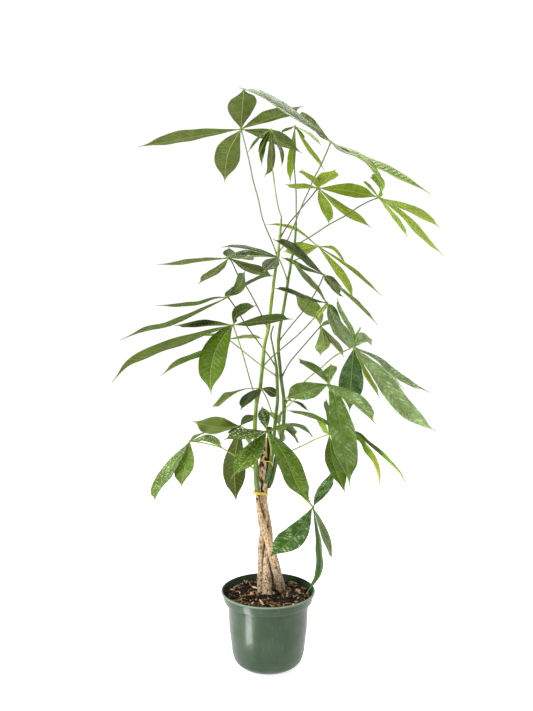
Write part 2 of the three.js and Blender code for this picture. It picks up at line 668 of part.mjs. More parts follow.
// Where a leaf's stalk starts, beside its stem at a picture row
function stalkStart(stem, row, towards) {
  const { curve, radius } = stems[stem];
  const share = shareAtRow(curve, row);
  const centre = curve.getPointAt(share);
  const along = curve.getTangentAt(share);
  const out = towards.clone().sub(centre);
  out.addScaledVector(along, -out.dot(along)).normalize();
  return centre.addScaledVector(out, STALK_START * radius(share));
}

function leafSolid({ hub, depth, stem, row, stalk, leaflets }) {
  const centre = seen(...hub, depth);
  const towards = stalk.length > 0 ? seen(...stalk[0], depth / 4) : centre;
  const line = row === null
    ? topStalk(stems[stem].curve, stalk, centre)
    : lineThrough(stalkStart(stem, row, towards), stalk, centre);
  const radiusAt = (t) => PETIOLE_RADIUS + (PETIOLE_FOOT - PETIOLE_RADIUS) * Math.max(0, 1 - 5 * t);
  const steps = stalk.length + 2;
  const pieces = [
    tube(line, steps, PETIOLE_SIDES, radiusAt),
    new THREE.OctahedronGeometry(HUB_RADIUS, 0).translate(...centre.toArray()),
    ...leaflets.map((blade) => bladeGeometry(centre, blade)),
  ];
  return wasm.Manifold.union(pieces.map(solid)).subtract(stems[stem].room);
}

// Bark: shallow flutes that wander round a strand
function barkRadius(radius, phase) {
  return (t, angle) => radius(t) * (1 + BARK_FLUTE * Math.cos(3 * angle + 9 * t + phase));
}

const stems = {};
for (const [name, { line }] of Object.entries(STEMS)) {
  const curve = curveOf(line);
  const radius = radiusAlong(curve.points, line.map((point) => point[3]));
  const room = solid(tube(curve, STEM_STEPS, STEM_SIDES, (t) => radius(t) + GAP, GAP));
  stems[name] = { curve, radius, room };
}

const group = new THREE.Group();

function add(name, geometry, colour, roughness = 0.6) {
  const material = new THREE.MeshStandardMaterial({ color: colour, roughness, metalness: 0 });
  const mesh = new THREE.Mesh(geometry, material);
  mesh.name = name;
  group.add(mesh);
}

function potGeometry() {
  const outside = [[0, 0], [POT_FOOT_RADIUS, 0], ...POT_BODY, ...POT_COLLAR, ...POT_LIP];
  const inside = [...POT_BODY, ...POT_COLLAR].map(([radius, height]) => [radius - POT_WALL, height + 1]);
  const lipInside = [POT_LIP[2][0] - 2.2, POT_HEIGHT - 0.4];
  const floor = [[POT_FOOT_RADIUS, POT_FLOOR], [0, POT_FLOOR]];
  const profile = [...outside, lipInside, ...inside.reverse(), ...floor];
  const points = profile.map(([radius, height]) => new THREE.Vector2(radius, height));
  let pot = solid(new THREE.LatheGeometry(points, POT_SIDES).rotateX(Math.PI / 2));
  for (let i = 0; i < DRAIN_HOLES; i += 1) {
    const angle = 2 * Math.PI * (i + 0.5) / DRAIN_HOLES;
    const hole = new THREE.CylinderGeometry(DRAIN_RADIUS, DRAIN_RADIUS, 3 * POT_FLOOR, DRAIN_SIDES)
      .rotateX(Math.PI / 2)
      .translate(DRAIN_CIRCLE * Math.cos(angle), DRAIN_CIRCLE * Math.sin(angle), 0);
    pot = pot.subtract(solid(hole));
  }
  return geometryOf(pot);
}

// A tie drawn tight round some tubes, with the free end of its wire on the left
function tieGeometry(tubes, { row, slope, radius, steps, tall }) {
  const heldAt = (place) => tubes.map(({ curve, radius: radiusAt }) => {
    const share = shareAtRow(curve, place);
    return { centre: curve.getPointAt(share), radius: (1 + BARK_FLUTE) * radiusAt(share) };
  });
  const points = [];
  for (let i = 0; i < steps; i += 1) {
    const angle = 2 * Math.PI * i / steps;
    const out = new THREE.Vector3(Math.cos(angle), Math.sin(angle), 0);
    const place = row + slope * out.x;
    const reach = ({ centre, radius: size }) => centre.dot(out) + size;
    const held = heldAt(place);
    const outermost = held.reduce((best, one) => (reach(one) > reach(best) ? one : best));
    const point = outermost.centre.clone().addScaledVector(out, outermost.radius + radius + TIE_ROOM);
    points.push(point.setZ(seen(CENTRE_COL, place, point.y).z));
  }
  const level = points[0].z;
  const squashed = points.map(({ x, y, z }) => new THREE.Vector3(x, y, level + (z - level) / tall));
  const wire = loop(new THREE.CatmullRomCurve3(squashed, true), 2 * steps, TIE_SIDES, radius);
  wire.translate(0, 0, -level).scale(1, 1, tall).translate(0, 0, level);
  const start = points[Math.round(TIE_EAR_PLACE * steps)];
  const end = start.clone().add(new THREE.Vector3(...TIE_EAR));
  const ear = solid(tube(new THREE.LineCurve3(start, end), 1, TIE_SIDES, () => 0.9 * radius));
  return geometryOf(solid(wire).add(ear));
}

// Height of the soil's lumpy surface
function soilHeight(x, y) {
  const [large, small] = SOIL_LUMPS;
  const lumps = large * Math.sin(0.13 * x + 1) * Math.cos(0.11 * y) + small * Math.sin(0.41 * y + 0.3 * x);
  return SOIL_HEIGHT + lumps;
}

// A repeatable draw between 0 and 1
function makeDraw(seed) {
  let state = seed;
  return () => {
    state = (state * 16807) % 2147483647;
    return state / 2147483647;
  };
}

function soilGeometry(holes) {
  const outside = POT_BODY.map(([radius, height]) => [radius - POT_WALL - SOIL_GAP, height + 1]);
  const low = [[0, POT_FLOOR + GAP], [POT_FOOT_RADIUS - 1, POT_FLOOR + GAP]];
  const rings = SOIL_RINGS.map((radius) => [radius, SOIL_HEIGHT]);
  const profile = [...low, ...outside, ...SOIL_CORNER, ...rings, [0, SOIL_HEIGHT]];
  const points = profile.map(([radius, height]) => new THREE.Vector2(radius, height));
  const geometry = new THREE.LatheGeometry(points, SOIL_SIDES).rotateX(Math.PI / 2);
  const place = geometry.attributes.position;
  for (let i = 0; i < place.count; i += 1) {
    if (place.getZ(i) > SOIL_HEIGHT - GAP) {
      place.setZ(i, soilHeight(place.getX(i), place.getY(i)));
    }
  }
  const draw = makeDraw(7);
  const chips = [];
  for (let i = 0; i < CHIP_COUNT; i += 1) {
    const reach = CHIP_CLEAR + CHIP_SPREAD * Math.sqrt(draw());
    const angle = 2 * Math.PI * draw();
    const x = reach * Math.cos(angle);
    const y = reach * Math.sin(angle);
    const size = CHIP_LEAST + CHIP_LEAST * draw();
    const chip = new THREE.BoxGeometry(CHIP_SIZE.long * size, CHIP_SIZE.wide * size, CHIP_SIZE.thick);
    chip.rotateX(CHIP_TILT * (draw() - 0.5));
    chip.rotateY(CHIP_TILT * (draw() - 0.5));
    chip.rotateZ(Math.PI * draw());
    chips.push(solid(chip.translate(x, y, soilHeight(x, y) + CHIP_LIFT)));
  }
  const soil = wasm.Manifold.union([solid(geometry), ...chips]);
  return geometryOf(soil.subtract(holes));
}

// Trunk strands, and the room that they take: plain holes in the soil, and seats for the stems
const strandHoles = [];
const strands = {};
Object.entries(STRANDS).forEach(([name, { colour, line }], i) => {
  const above = line.map(([col, row, depth]) => seen(col, row, depth));
  const foot = above[0];
  const buried = [ROOT_DEPTH, ROOT_DEPTH + 20].map((z) => new THREE.Vector3(foot.x, foot.y, z));
  const curve = new THREE.CatmullRomCurve3([...buried, ...above]);
  const radii = [line[0][3], line[0][3], ...line.map((point) => point[3])];
  const radius = radiusAlong(curve.points, radii);
  const steps = Math.round(1.6 * curve.points.length);
  strands[name] = { curve, radius };
  add(name, tube(curve, steps, BARK_SIDES, barkRadius(radius, 2 * i)), colour, 0.85);
  const wider = (t, angle) => barkRadius(radius, 2 * i)(t, angle) + GAP;
  strandHoles.push(solid(tube(curve, steps, BARK_SIDES, wider, GAP)));
});

const strandRoom = wasm.Manifold.union(strandHoles);

add('pot', potGeometry(), 0x5f7f66, 0.42);
add('soil', soilGeometry(strandRoom), 0x3a2c20, 0.95);

for (const [name, { colour }] of Object.entries(STEMS)) {
  const { curve, radius } = stems[name];
  const whole = solid(tube(curve, STEM_STEPS, STEM_SIDES, radius));
  add(name, geometryOf(whole.subtract(strandRoom)), colour, 0.5);
}

const tiedLow = [strands.trunk_strand_front, strands.trunk_strand_left, strands.trunk_strand_back];
const tiedHigh = [strands.trunk_strand_left, stems.stem_middle];
add('twist_tie_lower', tieGeometry(tiedLow, TIES.twist_tie_lower), TIES.twist_tie_lower.colour);
add('twist_tie_upper', tieGeometry(tiedHigh, TIES.twist_tie_upper), TIES.twist_tie_upper.colour);

for (const [name, leaf] of Object.entries(LEAVES)) {
  add(name, geometryOf(leafSolid(leaf)), leaf.colour, 0.4);
}

export default group;
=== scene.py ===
"""Looks of a potted money tree: leaves, stems, a braided trunk, soil, a nursery pot and twist ties.

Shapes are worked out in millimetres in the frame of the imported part, +Z up, and made in metres.
Places given as (column, row) are where a point shows in a picture 533 by 711, seen from EYE.
"""

import math

import bpy
import numpy as np
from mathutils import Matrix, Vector, noise


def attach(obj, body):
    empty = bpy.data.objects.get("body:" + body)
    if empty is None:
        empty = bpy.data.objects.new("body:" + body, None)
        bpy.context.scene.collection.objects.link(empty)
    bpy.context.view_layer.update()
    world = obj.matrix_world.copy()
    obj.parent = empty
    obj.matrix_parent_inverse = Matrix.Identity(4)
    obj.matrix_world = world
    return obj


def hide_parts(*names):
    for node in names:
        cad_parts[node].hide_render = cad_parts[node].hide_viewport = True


MM = 0.001

# Seeds of the random draws, and how far apart in the noise the bark of two strands lies
LEAF_SEED = 100
SOIL_SEED = 7
BARK_SHIFT = 7.3

# Picture measure: the eye, its focal length in pixels and the picture's centre
EYE = np.array([-2.8, -1086.0, 537.0])
FOCAL = 617
CENTRE_COL = 266.5
CENTRE_ROW = 355.5
PICTURE_HEIGHT = 711

# Whether a leaflet points to the viewer or away, and which of its faces shows
NEAR = -1
FAR = 1
TOP = 1
UNDER = -1

# Pot: a 165 mm nursery pot, its profile as (radius, height), and how far its corners are rounded
POT_HEIGHT = 126.5
POT_FLOOR = 2.4
POT_FOOT = 45
POT_BODY = [(54, 3.2), (59.8, 9.5), (63, 20), (68.2, 62), (71, 107.6)]
POT_COLLAR = [(77.6, 109), (80.4, 121.8)]
POT_LIP = [(82.2, 122.8), (82.6, 125), (81.6, POT_HEIGHT)]
POT_WALL = 1.7
LIP_BREADTH = 2.2
INSIDE_RISE = 1
OUTSIDE_CORNER = 2.2
LIP_CORNER = 0.8
INSIDE_CORNER = 2
POT_SIDES = 144
POT_CREASE = 38
DRAIN_HOLES = 6
DRAIN_RADIUS = 4.5
DRAIN_CIRCLE = 36

# Soil: filled to a little below the lip, lumpy, with coarse and fine crumbs
SOIL_HEIGHT = 118
SOIL_CORNER = [(76.4, 116), (74.5, 111.2)]
SOIL_REACH = 76
SOIL_LUMPS = (1.1, 0.7)
SOIL_GAP = 0.9
SOIL_FLOOR_GAP = 0.3
SOIL_SIDES = 200
SOIL_RINGS = 64
SOIL_BROWN = 0x1c140e
COARSE_CRUMBS = 0.35
FINE_CRUMBS = 0.9
FINE_CRUMB_SHARE = 0.7
CRUMB_DROP = 1.2
CRUMB_RISE = 1.4

# Bark chips: their number, the least and most of their measures, and their distance from the trunk
CHIPS = 1150
SHORT_CHIP = (5, 12)
LONG_CHIP = (13, 28)
CHIP_BREADTH = (1.4, 3)
CHIP_THICKNESS = (0.8, 2.2)
CHIP_LIFT = (-0.4, 1.2)
CHIP_TILT = 0.4
CHIP_WIDENING = 0.06
CHIP_INSET = 0.6
CHIP_STATIONS = (-1, -0.45, 0.35, 1)
CHIP_TAPER = 0.45
CHIP_JOG = 0.16
CHIP_CREASE = 30
CHIP_CLEARANCE = 9.5
# Browns of the chips, and the share of each
CHIP_BROWNS = {
    0x15100c: 0.42, 0x271d15: 0.22, 0x443424: 0.13, 0x6e563e: 0.1, 0x9a7c5a: 0.08, 0xd4b088: 0.05,
}
# Large chips that catch the eye: place, turn, size, colour
LARGE_CHIPS = [
    ((-20, -34), 0.0, (14, 3.6, 2.6), 0xd09a62),
    ((-24, -8), 0.85, (26, 4.4, 2.8), 0x9a6a3e),
    ((-38, -16), 0.5, (17, 5, 3), 0x7a5230),
    ((56, 2), -0.9, (20, 7, 3), 0xa98458),
    ((-30, -48), 0.1, (20, 3.4, 2.4), 0x8a6038),
    ((12, -52), -0.5, (22, 4.6, 3), 0x7e5632),
    ((34, -48), 0.5, (16, 4, 2.6), 0x94683c),
    ((-12, 44), 0.6, (18, 5, 3), 0x8a5c34),
    ((46, 44), -0.3, (16, 7, 4), 0x8a6a40),
    ((-46, 30), 1.1, (16, 5, 3), 0x6d4a2a),
]
LARGE_CHIP_LIFT = 1.2
LARGE_CHIP_TILT = (0.1, 0.15)

# Trunk: its buried feet, its bark, and the knob on the left strand
ROOT_HEIGHTS = (74, 94)
STRAND_STEP = 1.7
STRAND_SIDES = 56
BARK_SWELL = 0.9
OLD_BARK_HEIGHTS = (250, 150)
KNOB_ROW = 543.6
KNOB_RISE = 0.9
KNOB_SPREAD = 2.6
# Painted shade in a crease under the knob: how far below it, how wide, and how dark
KNOB_CREASE_DROP = 3.6
KNOB_CREASE_SPREAD = 0.8
KNOB_CREASE_SHARE = 0.7
# How often the bark's ridges, bumps and grit come in a millimetre
RIDGES = (0.32, 0.32, 0.09)
BUMPS = (0.75, 0.75, 0.6)
GRIT = (1.9, 1.9, 1.7)
# The open seam down the front of the braid, painted dark as a line of shade: (column, row)
OPEN_SEAM = [(259.4, 499), (260.6, 505), (262.4, 512), (265.2, 520)]
SEAM_WIDTH = 1.5
# How near another strand the bark starts to take painted shade, and how near the shade is full
SEAM_ROOM = (5, 1.4)
# Picture rows between which, going up, the bark comes to be cracked and the stump dead
CRACKED_ROWS = {
    "trunk_strand_front": (504, 496), "trunk_strand_left": (500, 488), "trunk_strand_back": (504, 496),
}
CRACKED_SHARE = {"trunk_strand_front": 0.8, "trunk_strand_left": 1, "trunk_strand_back": 0.8}
STUMP_ROWS = (470, 458)
# Dark scars on the strands: where each is seen, with its depth, and how far it reaches
SCARS = {
    "trunk_strand_front": [((257, 498.5, -8), 5.5), ((262.5, 506, -11), 2.4)],
    "trunk_strand_left": [((265, 503, -1.5), 2.4), ((266.5, 497.5, -1), 2.6)],
    "trunk_strand_back": [],
}
SCAR_STRETCH = (1, 0.5, 1.8)

# Stems: their mesh, and how much thicker they are at a leaf, over what length
STEM_STEP = 2.2
STEM_SIDES = 20
STEM_RIDGE = 0.025
STEM_SWELL = 0.02
KNOT_SIZE = 0.13
KNOT_SPREAD = 4.5
KNOT_TINT_SPREAD = 3

# Leaves: proportions of a blade
BLADE_BREADTH = 0.28
LEAST_BREADTH = 5
LEAST_HALF = 0.65
WIDEST = 1.25
DRIP_TIP = 0.02
TIP_TAPER = 0.45
TIP_TAPER_SPAN = (0.76, 0.96)
BLADE_FOLD = 0.16
BLADE_BELLY = 0.05
BLADE_ARCH = 0.015
BLADE_THICKNESS = 0.5
LONG_BLADE = 110
BLADE_STATIONS = (38, 52)
# How strongly the sheen painted on a blade shows, where neither the leaf nor the leaflet gives its own
USUAL_SHEEN = 0.08
# The waves of a blade's edge: the least and most in its length, and how far they rise and reach out
WAVES = (2.4, 4.2)
WAVE_RISE = 0.024
WAVE_REACH = 0.007
# The groove over the midrib and the rib beneath: depth and breadth at the blade's root
GROOVE = (0.22, 0.7)
RIB = (0.85, 0.8)
RIB_TAPER = 0.75
RIB_DROP = 0.6
# The side veins: the room between two, which grows with the blade, and how they slant and bend
VEIN_GAP = 3.5
VEIN_GAP_GROWTH = 0.032
VEIN_SLANT = 0.55
VEIN_BEND = 0.25
# Across half a blade, closer together at the rib
BLADE_COLUMNS = [0, 0.03, 0.07, 0.13, 0.24, 0.38, 0.52, 0.66, 0.8, 0.92, 1]

# Leaves: stalks, and the hub where the leaflets meet
HUB_INSET = 1.3
HUB_SIZE = (2.3, 2.3, 2.1)
NECK_RADIUS = 1.5
NECK_TAPER = 0.95
STALK_RADIUS = 1.1
STALK_FOOT = 1.9
STALK_FOOT_SPREAD = 7
STALK_KNEE = 0.55
STALK_KNEE_SPREAD = 5
STALK_STEP = 4
STALK_SIDES = 10
STALK_START = 0.5
TOP_STALK_LEAD = 9
TOP_STALK_OVERLAP = 0.3

# Twist ties: the picture row they are at, its slope to either side, and the size of their wire
TIES = {
    "twist_tie_lower": {"row": 493.5, "slope": 0.4, "wire": 0.9, "twist": (0.4, 1.5), "turns": 11},
    "twist_tie_upper": {"row": 462, "slope": 4, "wire": 0.42, "twist": (0.3, 0.35), "turns": 14},
}
TIE_EAR = [(-0.7, -0.8, 1), (-1.4, -1.2, 2.6), (-1.8, -1.4, 5)]
TIE_EAR_PLACE = 0.58
TIE_POINTS = 160
TIE_EASING = 6
TIE_STEPS = 420

# Trunk strands from the soil up: (column, row, depth, radius)
STRANDS = {
    "trunk_strand_front": [
        (279.2, 590, 19, 10.6), (276.6, 575, 8, 9.4), (275.2, 565, -3.5, 7.9), (272.8, 556, -9, 7.2),
        (270, 545, -11, 7), (265.9, 535, -10.5, 6.5), (262.4, 525, -9, 6.4), (260.9, 518, -8, 6.2),
        (259.4, 510, -7, 4.9), (258.4, 502, -6, 4.3), (257.8, 494, -5.5, 4.2),
    ],
    "trunk_strand_left": [
        (261.8, 592, 15, 8.4), (261.9, 570, 14, 7.7), (261.6, 551, 12, 6.6), (261.9, 543, 10, 6.1),
        (264, 522, 4.5, 5.6), (264.4, 505, 4, 5.9), (263.4, 494, 5, 5.2), (263.3, 484, 5, 5.9),
        (262.5, 470, 4.5, 7.5), (263.8, 459, 5, 6.6), (265.3, 448, 5, 3.4), (266.6, 438, 5, 1.3),
    ],
    "trunk_strand_back": [
        (267.3, 596, -1.5, 8.5), (267, 575, 0, 7.4), (266.9, 562, 1.5, 6.2), (268.4, 548, 5, 6),
        (269.6, 538, 9.5, 5.8), (268, 522, 15, 5.6), (264.8, 505, 16.5, 5.4), (264.4, 494, 17, 5),
        (266.2, 484, 16.5, 5), (269, 462, 14.5, 4.4), (269.6, 427, 12.5, 4),
    ],
}

# Green stems from the trunk up: (column, row, depth, radius)
STEMS = {
    "stem_left": [
        (257.9, 497, -5, 3.4), (257.4, 490, -5.5, 4.8), (256.5, 480, -7, 5), (256, 466, -8, 4.5),
        (255.4, 450, -8, 3.9), (254.9, 430, -8, 3.5), (255.6, 415, -7, 3.4), (257, 400, -6, 3.3),
        (260, 388, -6, 3.3), (262, 370, -5, 3.1), (263, 360, -5, 3.1), (264.5, 345, -4, 3),
        (268, 330, -3, 2.9), (270, 315, -2, 2.8), (272, 297, -1, 2.7), (274, 280, 0, 2.6),
        (276, 267, 0, 2.6), (278, 257, 0, 2.5), (279, 245, 0, 2.3), (280, 235, 0, 2.1),
        (281, 222, 0, 1.9),
    ],
    "stem_middle": [
        (264.8, 483, -1, 3.2), (267.6, 478, 0.5, 3.9), (269.6, 470, 1, 4), (271.4, 458, 0, 3.7),
        (273, 445, 0, 3.3), (275, 425, 2, 3.1), (276, 415, 3, 2.9), (277.6, 400, 3, 2.9),
        (277.2, 385, 2, 2.8), (276.6, 370, 0, 2.6), (275, 358, -1, 1.9), (272.6, 345, 1, 1.5),
        (271, 335, 3, 1.3), (273.5, 326, 4, 1.1),
    ],
    "stem_right": [
        (268.8, 487.5, 14, 3.2), (271.4, 481, 10.5, 3.9), (274, 470, 10.5, 4.1), (276.6, 458, 10.5, 4),
        (280, 445, 9.5, 3.4), (283, 430, 9, 3.2), (284, 415, 10, 3.2), (284, 400, 10, 3.1),
        (282.4, 388, 11, 3), (281, 378, 11, 2.9), (279.8, 365, 11, 2.9), (278.5, 352, 11, 2.8),
        (278.6, 340, 10, 2.8), (280, 328, 9, 2.7), (283, 312, 8, 2.7), (285, 300, 8, 2.6),
        (287, 288, 8, 2.5), (288, 280, 8, 2.5), (290, 270, 8, 2.4), (291, 262, 9, 2.4),
        (293, 252, 10, 2.3), (295, 240, 13, 2.1), (296, 225, 18, 1.9),
    ],
}

# Greens of the stems, low and high, with painted light and shade: lighter on their left, darker on their
# right
STEM_GREENS = {
    "stem_left": (0x5c7834, 0x7d9632),
    "stem_middle": (0x48642e, 0x5f7a28),
    "stem_right": (0x4c6832, 0x5f7a2c),
}
SHADED_SIDE = 0.34

# Greens of the leaves: (upper face, underside)
GREENS = {
    "dark": (0x3e530c, 0x52631e),
    "olive": (0x54661e, 0x586425),
    "moss": (0x687f36, 0x7e8e44),
    "deep": (0x39601c, 0x587034),
    "fresh": (0x58720e, 0x647818),
    "lime": (0x70880c, 0x809018),
    "spring": (0x94b03c, 0x9cb442),
    "yellow": (0x86a030, 0x96a63c),
    "sage": (0x7c8e60, 0x84936a),
    "pale": (0xa8ba9c, 0xa4b290),
    "pistachio": (0xc4c85e, 0xc8cc68),
}
STALK_GREENS = {
    "bright": 0x98ac3c,
    "yellow": 0x8a9a42,
    "tan": 0x929258,
    "olive": 0x66763a,
    "dark": 0x52642c,
    "brown": 0x544c3e,
}
HUB_GREEN = 0x7e9438
# How much darker a stalk is at its foot
STALK_END_SHADE = 0.35
# Where along a blade its tip's own green comes in
TIP_GREEN_SPAN = (0.5, 0.66)


def leaf_at(green, stalk_green, hub, depth, stem, row, stalk, *leaflets, sheen=USUAL_SHEEN):
    """A leaf's green and its stalk's, where its hub shows and how deep it lies, the stem and the picture
    row that it grows from, and the places that its stalk passes. Without a row the stem ends in it."""
    return {
        "green": green, "stalk_green": stalk_green, "hub": hub, "depth": depth, "stem": stem, "row": row,
        "stalk": stalk, "leaflets": leaflets, "sheen": sheen,
    }


def leaflet(tip, length, away, shows, face, *via, **own):
    """Where a leaflet's tip shows, its length, whether it points from the viewer, the breadth and the
    face that show, the places that its midrib passes, and what is its own in form and colour."""
    usual = {"green": None, "tip_green": None, "dry": 0.0, "specks": 0.0, "sheen": None, "widest": WIDEST}
    seen_as = {"tip": tip, "length": length, "away": away, "shows": shows, "face": face, "via": via}
    return {**seen_as, **usual, **own}


